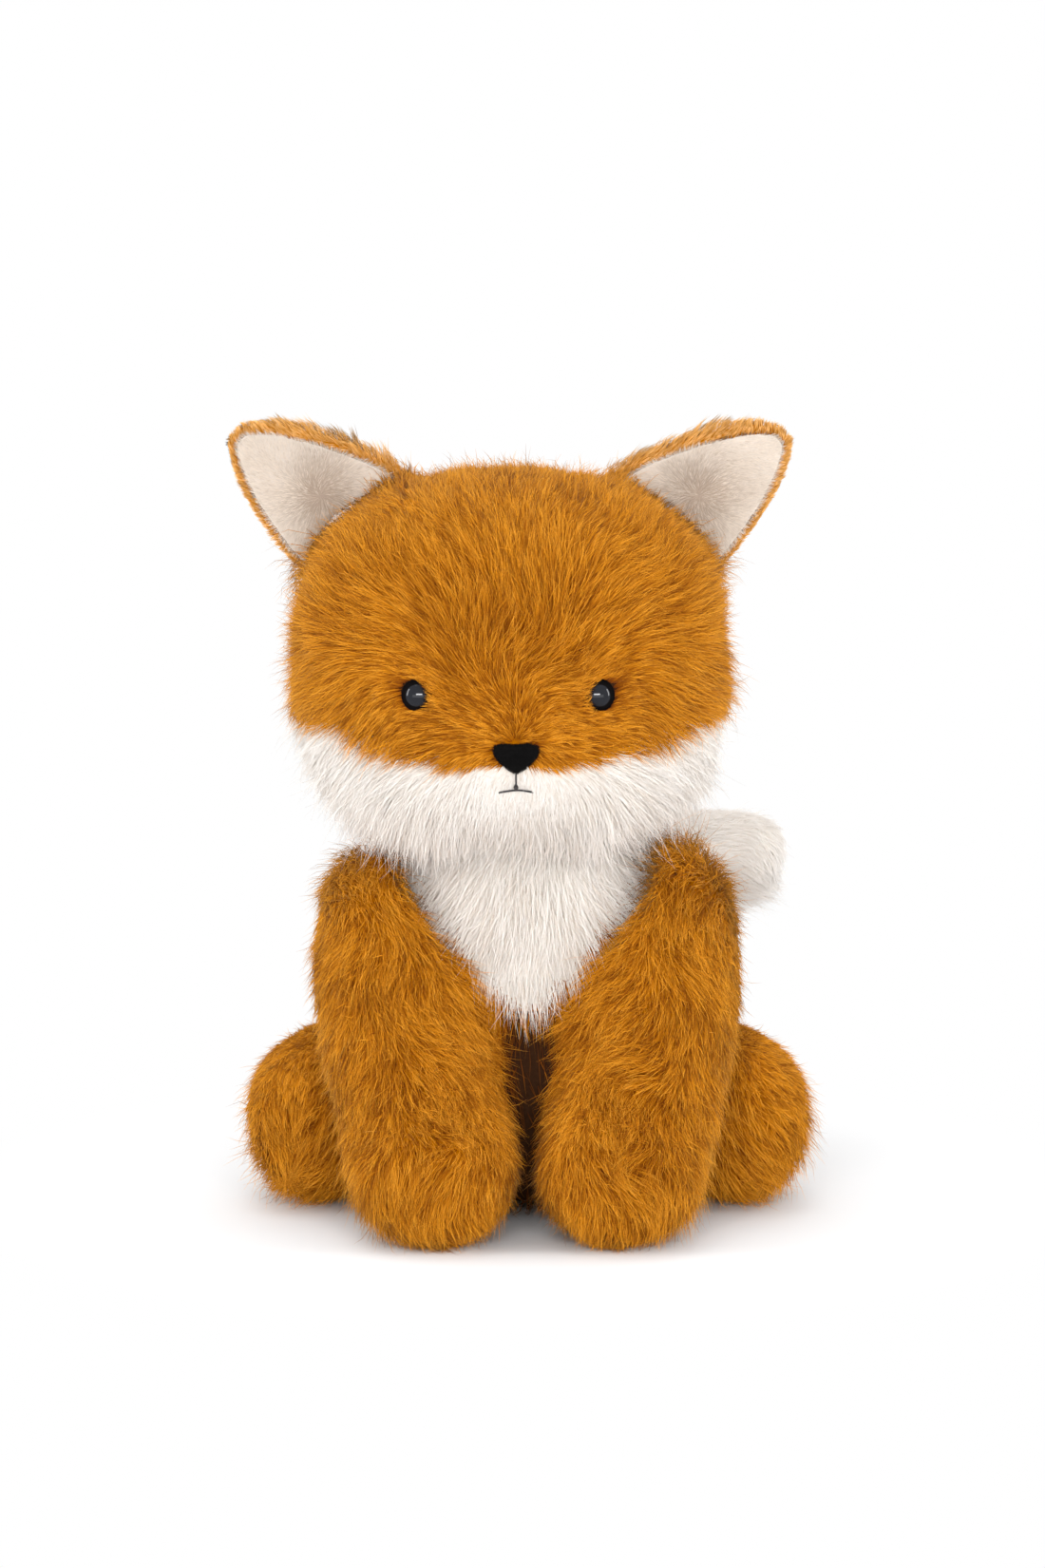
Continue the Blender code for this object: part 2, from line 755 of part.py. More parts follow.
def build_head(fox):
    inner = as_cutter(head_form("head_inner", fox.cutters, 0, -FUR_WALL))
    crown = as_part(head_form("head_crown_fur", fox.parts, SMOOTHING), ORANGE_FUR)
    cheeks = as_part(head_form("head_cheek_fur", fox.parts, SMOOTHING), WHITE_FUR)
    boolean(crown, cheek_cutter(fox, "cheek_clear", PANEL_GAP))
    boolean(cheeks, cheek_cutter(fox, "cheek_panel", 0), "INTERSECT")
    stuffing = as_part(head_form("head_stuffing", fox.parts, 0, -FUR_WALL - STUFFING_GAP), STUFFING)
    mouth_low = neck_point()
    mouth_high = mouth_low + Vector((0, 0, NECK_RADIUS + OVERRUN))
    mouth = as_cutter(
        cylinder("neck_mouth", NECK_MOUTH_RADIUS, mouth_low, mouth_high, SOCKET_SEGMENTS, fox.cutters)
    )
    for made in (crown, cheeks):
        boolean(made, inner)
        boolean(made, mouth)
    socket = neck_socket(fox)
    for made in (crown, cheeks, stuffing):
        cut_all(made, socket)
    fox.head_pieces = (crown, cheeks, stuffing)


def mount_frame(point, normal):
    """A frame on the face: its Z points out of the fur."""
    return Matrix.Translation(point) @ normal.to_track_quat("Z", "Y").to_matrix().to_4x4()


def place(made, frame):
    made.matrix_world = frame
    return made


def post_and_washer(fox, name, frame, start):
    """A washer behind the fabric, and the hole that post and washer take in the head."""
    end = start - POST_LENGTH
    post_radius = POST_DIAMETER / 2
    washer_radius = WASHER_DIAMETER / 2
    post_end = Vector((0, 0, end))
    post = cylinder(f"{name}_post", post_radius, post_end, Vector((0, 0, start)), POST_SEGMENTS, fox.cutters)
    washer_top = -FUR_WALL - EYE_SINK - OVERRUN / 2
    washer = cylinder(
        f"{name}_washer",
        washer_radius,
        Vector((0, 0, washer_top - WASHER_THICKNESS)),
        Vector((0, 0, washer_top)),
        WASHER_SEGMENTS,
        fox.parts,
    )
    bore = cylinder(
        f"{name}_washer_bore",
        post_radius + CLEARANCE / 2,
        Vector((0, 0, washer_top - OVERRUN)),
        Vector((0, 0, washer_top + OVERRUN)),
        POST_SEGMENTS,
        fox.cutters,
    )
    as_part(washer, WASHER_PLASTIC)
    place(as_cutter(bore), frame)
    place(washer, frame)
    boolean(washer, bore)
    hole = cylinder(
        f"{name}_hole",
        post_radius + CLEARANCE,
        Vector((0, 0, end - CLEARANCE)),
        Vector((0, 0, OVERRUN)),
        POST_SEGMENTS,
        fox.cutters,
    )
    pocket = cylinder(
        f"{name}_pocket",
        washer_radius + CLEARANCE,
        Vector((0, 0, end - CLEARANCE)),
        Vector((0, 0, washer_top + CLEARANCE)),
        WASHER_SEGMENTS,
        fox.cutters,
    )
    for cutter in (hole, pocket):
        place(as_cutter(cutter), frame)
        for made in fox.head_pieces:
            boolean(made, cutter)
    return place(as_cutter(post), frame)


def build_eye(fox, name, side):
    point, normal = fox.face.front_at(HEAD_SHIFT + side * EYE_SPACING / 2, HEAD_CENTRE + EYE_LIFT)
    frame = mount_frame(point - normal * EYE_SINK, normal)
    radius = EYE_DIAMETER / 2
    sizes = (EYE_DIAMETER, EYE_DIAMETER, EYE_DIAMETER * EYE_BULGE_SHARE)
    dome = ball(f"eye_{name}", sizes, Vector((0, 0, 0)), EYE_SEGMENTS, EYE_RINGS, fox.parts)
    as_part(place(dome, frame), BLACK_EYE)
    behind = block(
        f"eye_{name}_back",
        Vector((-radius, -radius, -EYE_DIAMETER)) * 2,
        Vector((radius, radius, 0)) * 2,
        fox.cutters,
    )
    place(behind, frame)
    boolean(dome, behind)
    post = post_and_washer(fox, f"eye_{name}", frame, radius * EYE_BULGE_SHARE / 2)
    boolean(dome, post, "UNION")
    socket = cylinder(
        f"eye_{name}_socket",
        radius + CLEARANCE,
        Vector((0, 0, -CLEARANCE)),
        Vector((0, 0, EYE_DIAMETER)),
        EYE_SEGMENTS,
        fox.cutters,
    )
    place(as_cutter(socket), frame)
    for made in fox.head_pieces:
        boolean(made, socket)


def nose_cage(name, outset, collection):
    """A rounded triangle, flat on top and pointed below, as a coarse cage.

    The cage is wider than the nose, because smoothing draws its upper corners in.
    """
    bm = bmesh.new()
    bmesh.ops.create_cube(bm, size=2)
    for vertex in bm.verts:
        narrowing = NOSE_TIP_SHARE if vertex.co.y < 0 else 1
        cage_width = NOSE_WIDTH / NOSE_CORNER_SHARE * narrowing
        half_sizes = (cage_width / 2, NOSE_HEIGHT / 2, NOSE_THICKNESS / 2)
        vertex.co = Vector([c * (half + outset) for c, half in zip(vertex.co, half_sizes)])
    bmesh.ops.subdivide_edges(bm, edges=bm.edges[:], cuts=1, use_grid_fill=True)
    return smoothed(from_bmesh(name, bm, collection), NOSE_SMOOTHING)


def build_nose(fox):
    point, _ = fox.face.front_at(HEAD_SHIFT + NOSE_SHIFT, NOSE_CENTRE)
    ahead = Vector((0, -1, 0))
    frame = mount_frame(point + ahead * (NOSE_THICKNESS / 2 - NOSE_SINK), ahead)
    nose = as_part(place(nose_cage("nose", 0, fox.parts), frame), BLACK_FLOCK)
    seat = mount_frame(point - ahead * NOSE_SINK, ahead)
    post = post_and_washer(fox, "nose", seat, NOSE_THICKNESS / 2)
    boolean(nose, post, "UNION")
    socket = place(as_cutter(nose_cage("nose_socket", CLEARANCE, fox.cutters)), frame)
    for made in fox.head_pieces:
        boolean(made, socket)


def thread(name, points, collection, bevel, diameter):
    curve = bpy.data.curves.new(name, "CURVE")
    curve.dimensions = "3D"
    curve.bevel_depth = diameter / 2
    curve.bevel_resolution = bevel
    curve.use_fill_caps = True
    line = curve.splines.new("POLY")
    line.points.add(len(points) - 1)
    for point, where in zip(line.points, points):
        point.co = (*where, POINT_WEIGHT)
    made = bpy.data.objects.new(name, curve)
    collection.objects.link(made)
    return meshed(made, collection)


def build_mouth(fox):
    """One stitch down from the nose and one shallow arc across, joined by a knot."""
    x = HEAD_SHIFT + NOSE_SHIFT
    top = NOSE_CENTRE - NOSE_HEIGHT / 2 - 2 * THREAD_DIAMETER
    proud = THREAD_DIAMETER / 2 + 2 * CLEARANCE

    def on_face(side, height):
        point, _ = fox.face.front_at(x + side, height)
        return point - Vector((0, proud, 0))

    arc = []
    for side in between(-MOUTH_WIDTH / 2, MOUTH_WIDTH / 2, MOUTH_POINTS):
        rise = MOUTH_RISE * (1 - (2 * side / MOUTH_WIDTH) ** 2)
        arc.append(on_face(side, top - MOUTH_DROP + rise))
    drop = [on_face(0, height) for height in between(top, top - MOUTH_DROP + MOUTH_RISE, MOUTH_POINTS)]
    mouth = as_part(thread("mouth_stitch", arc, fox.parts, THREAD_SEGMENTS, THREAD_DIAMETER), DARK_THREAD)
    down = as_cutter(thread("mouth_drop", drop, fox.cutters, THREAD_SEGMENTS, THREAD_DIAMETER))
    knot_centre = drop[-2] - Vector((0, KNOT_DIAMETER / 4, 0))
    knot = ball("mouth_knot", [KNOT_DIAMETER] * 3, knot_centre, KNOT_SEGMENTS, KNOT_RINGS, fox.cutters)
    boolean(mouth, down, "UNION")
    boolean(mouth, as_cutter(knot), "UNION")


def ear_frame(side):
    """The ear's own frame: X along its base, Y to the back and Z up to its tip."""
    up = Vector((side * math.sin(EAR_LEAN), 0, math.cos(EAR_LEAN)))
    across = Vector((up.z, 0, -up.x))
    back = up.cross(across)
    base = Vector((HEAD_SHIFT + side * EAR_BASE_SIDE, EAR_SET_BACK, EAR_BASE_HEIGHT))
    frame = Matrix((across, back, up)).transposed().to_4x4()
    frame.translation = base
    return frame


def ear_half_width(share, margin):
    narrowing = 1 - max(0, share) ** (1 / EAR_TAPER_SHARE)
    return (EAR_TIP_WIDTH + (EAR_WIDTH - EAR_TIP_WIDTH) * narrowing) / 2 - margin


def ear_sheet(name, front, thickness, margin, collection):
    """A cupped, tapered sheet of the ear. front is how far its face lies behind the rim."""
    bm = bmesh.new()
    bmesh.ops.create_grid(bm, x_segments=EAR_COLUMNS, y_segments=EAR_ROWS, size=1)
    for vertex in bm.verts:
        s = vertex.co.x
        share = (vertex.co.y + 1) / 2
        height = -EAR_ROOT + share * (EAR_ROOT + EAR_HEIGHT - margin)
        wide = ear_half_width(height / EAR_HEIGHT, margin)
        fade = 1 - max(0, height) / EAR_HEIGHT
        cup = EAR_CUP * (1 - (s * wide * 2 / EAR_WIDTH) ** 2) * fade
        vertex.co = Vector((s * wide, front + cup, height))
    grown = bmesh.ops.extrude_face_region(bm, geom=bm.faces[:])
    for item in grown["geom"]:
        if isinstance(item, bmesh.types.BMVert):
            item.co.y += thickness
    bmesh.ops.recalc_face_normals(bm, faces=bm.faces)
    return smoothed(from_bmesh(name, bm, collection), SMOOTHING)


def build_ear(fox, name, side):
    frame = ear_frame(side)
    back = ear_sheet(f"ear_back_{name}", 0, EAR_BACK_THICKNESS, 0, fox.parts)
    lining = ear_sheet(
        f"ear_lining_{name}", -LINING_GAP - LINING_THICKNESS, LINING_THICKNESS, LINING_MARGIN, fox.parts
    )
    as_part(back, SHORT_PILE)
    as_part(lining, CREAM_MINKY)
    pivot = frame.translation
    fold = frame.to_3x3().col[0]
    turns = [turned(fold, -angle) for angle in between(-EAR_FOLD_BACK, EAR_FOLD_FORWARD, EAR_STEPS)]
    turns.append(turned(fold, 0))
    swept = sweep(fox.head_clear, pivot, turns, f"head_by_ear_{name}")
    for made in (back, lining):
        place(made, frame)
        cut_all(made, swept)


def limb_bag(fox, name, rings, inner, cutters, finish):
    """A limb's fur bag, cut by what carries the limb and hollowed by the limb's inner form."""
    fur = as_part(limb_form(name, rings, fox.parts, SMOOTHING), finish)
    cut_all(fur, cutters)
    return boolean(fur, inner)


def limb_filling(fox, name, rings, cutters):
    made = limb_form(name, rings, fox.parts, 0, -FUR_WALL - STUFFING_GAP)
    cut_all(as_part(made, STUFFING), cutters)


def limb_inner(fox, name, rings):
    return as_cutter(limb_form(name, rings, fox.cutters, 0, -FUR_WALL))


def build_leg(fox, kind, label, rings, cutters):
    """A leg that stands on the floor: its fur bag and its stuffing."""
    inner = limb_inner(fox, f"{kind}_inner_{label}", rings)
    boolean(limb_bag(fox, f"{kind}_fur_{label}", rings, inner, cutters, ORANGE_FUR), fox.floor)
    limb_filling(fox, f"{kind}_stuffing_{label}", rings, cutters)


def build_front_leg(fox, label, side):
    pivot = Vector((side * SHOULDER_SIDE, SHOULDER_SET_BACK, SHOULDER_HEIGHT))
    turns = [turned("X", angle) for angle in between(0, SHOULDER_SWING, SHOULDER_STEPS)]
    swept = sweep(fox.body_clear, pivot, turns, f"body_by_front_leg_{label}")
    build_leg(fox, "front_leg", label, on_floor(fox, front_leg_rings(side)), swept)


def hip_axis(side):
    return Vector((-math.cos(HIP_AXIS_TILT), 0, side * math.sin(HIP_AXIS_TILT)))


def build_hind_leg(fox, label, side):
    """A hind leg, also cut by the front leg beside it."""
    pivot = Vector((side * HIP_SIDE, HIP_SET_BACK, HIP_HEIGHT))
    turns = [turned(hip_axis(side), -angle) for angle in between(0, HIP_SWING, HIP_STEPS)]
    swept = sweep(fox.body_clear, pivot, turns, f"body_by_hind_leg_{label}")
    beside_rings = on_floor(fox, front_leg_rings(side))
    beside = limb_form(f"front_leg_clear_{label}", beside_rings, fox.cutters, SMOOTHING, LIMB_GAP)
    swept += sweep(as_cutter(beside), pivot, turns, f"front_leg_by_hind_leg_{label}")
    build_leg(fox, "hind_leg", label, on_floor(fox, hind_leg_rings(side)), swept)


def build_tail(fox):
    """An orange bag and a white one that meet at a seam, around one stuffing."""
    pivot = Vector((TAIL_ROOT_SIDE, TAIL_ROOT_BACK, TAIL_ROOT_HEIGHT))
    turns = [turned("Y", -angle) for angle in between(-TAIL_WAG, TAIL_WAG, TAIL_STEPS)]
    swept = sweep(fox.body_clear, pivot, turns, "body_by_tail")
    rings = tail_rings()
    seam = TAIL_ROOT_SIDE + TAIL_WHITE_SHARE * TAIL_SPAN
    far = 2 * (TAIL_SPAN + BODY_DEPTH)
    tip_side = block("tail_tip_side", Vector((seam, -far, -far)), Vector((far, far, far)), fox.cutters)
    base_high = Vector((seam + PANEL_GAP, far, far))
    base_side = block("tail_base_side", Vector((-far, -far, -far)), base_high, fox.cutters)
    inner = limb_inner(fox, "tail_inner", rings)
    boolean(limb_bag(fox, "tail_base_fur", rings, inner, swept, ORANGE_FUR), tip_side)
    boolean(limb_bag(fox, "tail_tip_fur", rings, inner, (), WHITE_FUR), base_side)
    limb_filling(fox, "tail_stuffing", rings, swept)


def main():
    fox = Fox()
    build_body(fox)
    build_neck(fox)
    build_head(fox)
    for name, side in SIDES.items():
        build_eye(fox, name, side)
    build_nose(fox)
    build_mouth(fox)
    for name, side in SIDES.items():
        build_ear(fox, name, side)
        build_front_leg(fox, name, side)
        build_hind_leg(fox, name, side)
    build_tail(fox)


main()
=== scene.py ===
"""The looks of a seated plush fox: skins under a combed pile of real strands, eyes, nose, ears and studio.

Metres, +Z up, the fox faces -Y. The pile is grown strand by strand on a skin that lies just
under each CAD form. A groom says how a region's strands lie, and a flow says which way.
"""

import math
from dataclasses import dataclass

import bmesh
import bpy
import numpy as np
from mathutils import Matrix, Vector
from mathutils.bvhtree import BVHTree
from mathutils.kdtree import KDTree

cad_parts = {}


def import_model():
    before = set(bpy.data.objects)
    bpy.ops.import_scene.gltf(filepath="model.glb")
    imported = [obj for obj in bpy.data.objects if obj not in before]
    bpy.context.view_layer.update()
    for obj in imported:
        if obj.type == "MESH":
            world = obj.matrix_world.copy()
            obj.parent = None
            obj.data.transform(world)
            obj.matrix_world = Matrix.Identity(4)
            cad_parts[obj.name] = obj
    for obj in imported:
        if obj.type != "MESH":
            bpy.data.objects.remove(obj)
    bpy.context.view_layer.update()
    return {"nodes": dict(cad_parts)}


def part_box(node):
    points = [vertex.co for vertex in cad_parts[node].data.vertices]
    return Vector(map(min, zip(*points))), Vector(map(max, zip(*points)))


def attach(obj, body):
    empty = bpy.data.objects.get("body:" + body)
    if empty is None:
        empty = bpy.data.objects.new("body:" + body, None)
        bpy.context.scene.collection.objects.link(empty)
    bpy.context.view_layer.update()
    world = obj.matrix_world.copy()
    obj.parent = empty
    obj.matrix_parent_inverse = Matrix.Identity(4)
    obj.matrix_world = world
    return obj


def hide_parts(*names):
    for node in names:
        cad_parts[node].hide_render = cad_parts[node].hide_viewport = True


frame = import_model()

# Camera, as the photograph was taken
CAMERA_ELEVATION = math.radians(11)
CAMERA_DISTANCE = 4.0
VIEW_HEIGHT = 0.495
VIEW_CENTRE = Vector((-0.0015, 0, 0.1323))
SENSOR_HEIGHT = 24

# Studio
FLOOR_SIZE = 6.0
WORLD_LIGHT = 0.86
WORLD_WHITE = 1.0
SHADOW_REACH = (0.085, 0.185)
# The lamps: place, width and height, and power
LAMP_AIM = Vector((0, 0, 0.13))
LAMPS = {
    "side_left": ((1.40, -0.50, 0.60), (0.20, 0.9), 6.0),
    "side_right": ((-1.40, -0.50, 0.60), (0.20, 0.9), 6.0),
    "low": ((0.0, -1.5, 0.26), (2.2, 0.4), 4.2),
    "top": ((-0.1, 0.15, 1.5), (1.4, 1.0), 6.5),
    "glint": ((0.0, -1.0, 0.40), (0.6, 0.12), 5.5),
}

# Skins
SKIN_VOXEL = 0.0025
SKIN_SINK = 0.36
TAIL_SINK = 0.2
DEEPEST_SINK = 0.005
SKIN_SEAM_SINK = 0.0008
SKIN_SMOOTHING = 14
TOUCHING = 0.0012
CLEAR_OF_OTHERS = 0.005
FLOOR_PILE = 0.0006

# Strands
FACES_IN_A_PIECE = 190000
TINT_SPREAD = 0.02
ROUND_SHADING = 0.35
LENGTH_RANGE = (0.72, 1.12)
WIDTH_RANGE = (0.75, 1.2)
STRAND_TAPER = 0.55
WAVE_TINT = 0.06
STRAND_TINT = 0.15
LOCK_TINT = 0.36
LOCK_LEAN = 0.22
OUTWARD_SHADING = 0.45
BESIDE_SHADING = 1.6
PARTING_LIFT = 0.7
WHITE_LIFT_SHARE = 0.75
WHITE_CLUMP_SHARE = 0.45
BESIDE_NEIGHBOUR = (0.002, 0.008)
RAGGED_SIZE = 0.006
FULL_PILE = 0.0135
FREE_ROOM = (0.0, 0.003)
HEAD_STRANDS = 165000
BODY_STRANDS = 56000
TAIL_STRANDS = 15000
FRONT_LEG_STRANDS = 44000
HIND_LEG_STRANDS = 24000
EAR_STRANDS = 12000
LINING_STRANDS = 9000
FLOCK_STRANDS = 3000
TINT_WAVE = 0.013
# Where the tints turn from a deep strand's to a gap's painted shade, and the painted shade's own colour
GAP_SHARE = 0.12
PAINTED_GAP_SHADE = (0.16, 0.13, 0.11)

# The head
HEAD_MIDDLE = -0.0060
NOSE_SIDE = -0.0035
NOSE_HEIGHT = 0.1565
MOUTH_HEIGHT = 0.1465
MOUTH_HALF_WIDTH = 0.0071
MOUTH_DROOP = 0.0008
MOUTH_TUCK = 0.0031
MOUTH_NARROWING = 0.88
KNOT_SIZE = 0.0012
KNOT_SWELL = 0.6
EYE_HEIGHT = 0.173
EYE_SPACING = 0.057
EYE_RADIUS = 0.0052
EYE_TURN = 0.45
EYE_SUNK = 0.0014
# Round each eye the backing is painted shade out to this distance
DARK_ROUND_EYE = 0.0078
EYE_RINGS = 40
EYE_DISC_RINGS = 9
EYE_SEGMENTS = 64
NECK_POINT = Vector((0, -0.004, 0.101))
CHEEK_LINE = 0.1520
CHEEK_BACK = 0.020
# The head's pile: how long it is, and where each smooth step starts and ends
HUGS_NOSE = (0.012, 0.030)
HUGS_EYE = (0.006, 0.018)
RAISED_AT_NOSE = (0.009, 0.030)
RAISED_AT_EYE = (0.005, 0.014)
NOSE_FRONT = -0.077
MOUTH_FRONT = -0.074
BELOW_NOSE = 0.004
PARTING_FRONT = -0.088
PARTING_RISE = 0.001
BACK_OF_HEAD = (-0.025, 0.045)
JAW_FLOW = (0.152, 0.132)
CHEEK_ACROSS = (0.018, 0.045)
CHEEK_FLOW = (0.198, 0.172)
BESIDE_EAR = (0.002, 0.012)
JAW = (0.150, 0.128)
HEAD_SIDE = (0.045, 0.065)
SIDE_RISE = (0.17, 0.195)
SIDE_FALL = (0.192, 0.210)
CROWN_START = (0.202, 0.225)
WHITE_PILE = 0.0145
JAW_EXTRA = 0.0085
CROWN_PILE = 0.0142
EDGE_LESS = 0.0050
EAR_EXTRA = 0.0035
SHORT_AT_NOSE = 0.0055
NOSE_TO_FULL = (0.006, 0.042)
SHORT_AT_MOUTH = 0.0040
MOUTH_TO_FULL = (0.003, 0.040)
SHORT_AT_EYE = 0.0050
EYE_TO_FULL = (0.004, 0.020)
EYE_FRONT = -0.063
EYE_SEEN_SHIFT = 0.001
BESIDE_NOSE = (0.0055, 0.0080)
BESIDE_NOSE_END = (0.012, 0.024)
BESIDE_NOSE_RISE = 0.0004
CHEEK_RISE = 0.0075
CHEEK_RISE_ACROSS = (0.016, 0.058)
RAGGED_CHEEK = 0.0008
EYE_OPENING_SHIFT = 0.0018
EYE_OPENING = (0.0039, 0.0049)
NOSE_HALF_WIDTH = 0.0072
NOSE_FOOT = 0.0060
NOSE_SLOPE = 0.008
NOSE_TOP = 0.0032
NOSE_TOP_FOR_ROOTS = 0.0010
NOSE_LOW = -0.0054
FACE_START = -0.05
NECK_CLEARING = (0.046, 0.052)
HEAD_ROOM = (-0.002, 0.001)
CHEEK_UPRIGHT = (0.152, 0.138)
CHEEK_UPRIGHT_END = 0.01
RAISED_BESIDE_EYE = 0.011
CROWN_FACING = (0.180, 0.210)
CROWN_LIFT = 0.07
FACE_MIDDLE = (0.010, 0.045)
ABOVE_NOSE = (0.158, 0.168)
BRIDGE_END = (0.185, 0.215)
HEAD_EDGE = (0.048, 0.072)
CROWN_EDGE = (0.212, 0.232)
EYE_SHADE = (0.0045, 0.011)
EYE_SEAT = 0.006
BEFORE_FACE = -0.3
NOSE_VOXEL = 0.0004
NOSE_PAD = (0.0705, 0.0730)
NOSE_DIP_WIDTH = 0.0022
NOSE_DIP = 0.0004
NOSE_DROP = 0.0007
NOSE_TIP_DROP = 0.0010
FLOCK_LENGTH = 0.0009
THREAD_VOXEL = 0.00013
KNOT_DROP = 0.0005

# The rest
BIB_TIP = 0.0705
BIB_TOP = 0.119
TAIL_SEAM = 0.032
SHOULDER_LIFT = {1: 0.7, -1: 0.5}
SHOULDER_RISE = {1: 0.85, -1: 0.3}
PAW_SWIRLS = {1: (0.0305, -0.093, 0.030), -1: (-0.020, -0.092, 0.038)}
EAR_LEAN = math.radians(50)
EAR_PILE = 0.0028
LINING_PILE = 0.0016
HOLLOW_SHIFT = 0.001
HOLLOW_REACH = np.array((0.013, 1.0, 0.022))
EAR_VOXEL = 0.0012
LINING_VOXEL = 0.0008
EAR_SWELL = 0.0028
EAR_TIP_DROP = 0.0026
# The other pile: where each limb starts and ends, how long it is, and where each smooth step runs
CHEST_SIDES = (0.004, 0.034)
CHEST_SPREAD = (0.070, 0.105)
FRONT_LEG_ROOT = (0.045, -0.018, 0.11)
FRONT_LEG_END = (0.03, -0.075, 0.02)
HIND_LEG_ROOT = (0.046, 0.02, 0.05)
HIND_LEG_END = (0.078, -0.03, 0.03)
LEG_INNER = (0.048, 0.010)
INNER_SWEEP = (0.045, 0.070)
SHOULDER_TOP = (0.099, 0.118)
SWIRL_REACH = (0.004, 0.026)
RAGGED_BIB = 0.0012
CHEST = (0.075, 0.10)
CHEST_EXTRA = 0.003
CHEST_EDGE_EXTRA = 0.007
CHEST_EDGE = (0.018, 0.034)
UNDER_HEAD_PILE = 0.006
UNDER_HEAD = (0.118, 0.130)
BIB_HALF_WIDTH = 0.037
BIB_SHIFT = 0.001
LEG_INSIDE = (0.012, 0.040)
LEG_TOP = (0.098, 0.116)
LEG_TOP_EXTRA = (0.005, 0.002)
LEG_OUTSIDE = (0.048, 0.062)
CLOSING = (0.058, 0.075)
CLOSING_LOW = (0.060, 0.040)
LEG_PILE = 0.0125
INSIDE_EXTRA = 0.006
OUTSIDE_LESS = 0.003
HIND_TOP_LESS = 0.0065
HIND_TOP = (0.025, 0.05)
TAIL_UNDERSIDE = (0.098, 0.080)
TAIL_TIP_PILE = 0.0070
UNDERSIDE_EXTRA = 0.0075
TAIL_PILE = 0.0120
BESIDE_SHOULDER = (0.075, 0.112)
THIN_UNDER_HEAD = (0.120, 0.132)
CHEST_UPRIGHT = (0.06, 0.09)
GAP_SHIFT = 0.001
GAP_HALF_WIDTH = (0.004, 0.013)
GAP_TOP = (0.077, 0.062)
GAP_FRONT = (-0.085, -0.06)
BIB_FADE = 0.004
LEG_ROOM = (-0.001, 0.002)
OUTSIDE_FLAT = (0.046, 0.060)
FLAT_BELOW = 0.10
INSIDE_FLAT = (0.026, 0.012)
INSIDE_FLAT_LOW = (0.060, 0.045)
SHOULDER_UPRIGHT = (0.098, 0.114)
# Where the painted light on the shoulder's top fades in
PALE_SHOULDER = (0.076, 0.098)
HIND_FLAT = (0.032, 0.052)
HIND_FACING = (0.8, -1.4, 1.0)
LOBE_START = (0.035, 0.052)
LOBE_LOW = (0.100, 0.075)
LOBE_DROP = 0.0015
LOBE_LOW_DROP = 0.0060
LOBE_END = (0.058, 0.080)
TAIL_TURN = (0.0, 0.045)
TAIL_END = (0.062, 0.076)
EAR_ROOM = (0.0002, 0.0012)
EAR_TIP_START = 0.020
EAR_TIP_END = 0.002
LINING_REACH = np.array((0.022, 1.0, 0.018))
HOLLOW_WAVE = 0.012
NECK_VOXEL = 0.002

SIDES = {"left": 1, "right": -1}
DOWN = np.array((0.0, 0.0, -1.0))
FLAT = np.array((1.0, 1.0, 0.0))
ACROSS = np.array((1.0, 0.0, 1.0))
rng = np.random.default_rng(7)


def unit(vectors):
    return vectors / np.maximum(np.linalg.norm(vectors, axis=1, keepdims=True), 1e-12)


def along_surface(vectors, normals):
    """The part of each vector that lies in the surface, as a unit vector."""
    return unit(vectors - normals * (vectors * normals).sum(1, keepdims=True))


def smoothstep(values, low, high):
    share = np.clip((values - low) / (high - low), 0, 1)
    return share * share * (3 - 2 * share)


def below(values, high, low):
    """0 from high upwards and 1 from low downwards, smooth between."""
    return smoothstep(-values, -high, -low)


def within(values, inner, outer):
    """1 up to inner and 0 from outer on, smooth between."""
    return 1 - smoothstep(values, inner, outer)


def distance(points, place, scale=1):
    """How far each point is from a place. scale weighs the three directions."""
    return np.linalg.norm((points - np.array(place)) * scale, axis=1)


def waves(points, size, seed):
    """Smooth random numbers in space, from about -1 to 1, that change over a distance of size."""
    wave_rng = np.random.default_rng(seed)
    total = np.zeros(len(points))
    count = 7
    for _ in range(count):
        heading = wave_rng.normal(size=3)
        heading *= math.tau / (size * wave_rng.uniform(1.2, 3.2)) / np.linalg.norm(heading)
        total += np.sin(points @ heading + wave_rng.uniform(0, math.tau))
    return total / math.sqrt(count / 2) * 0.75


def added(name, data):
    """An object of the scene with this mesh, lamp or camera."""
    made = bpy.data.objects.new(name, data)
    bpy.context.scene.collection.objects.link(made)
    return made


def values_of(elements, name, width, kind=float):
    """One value of each element of a mesh, as rows of width numbers."""
    found = np.empty(len(elements) * width, kind)
    elements.foreach_get(name, found)
    return found.reshape(-1, width)


def vertex_places(mesh):
    return values_of(mesh.vertices, "co", 3)


def move_vertices(mesh, places):
    mesh.vertices.foreach_set("co", places.ravel())
    mesh.update()


# Materials


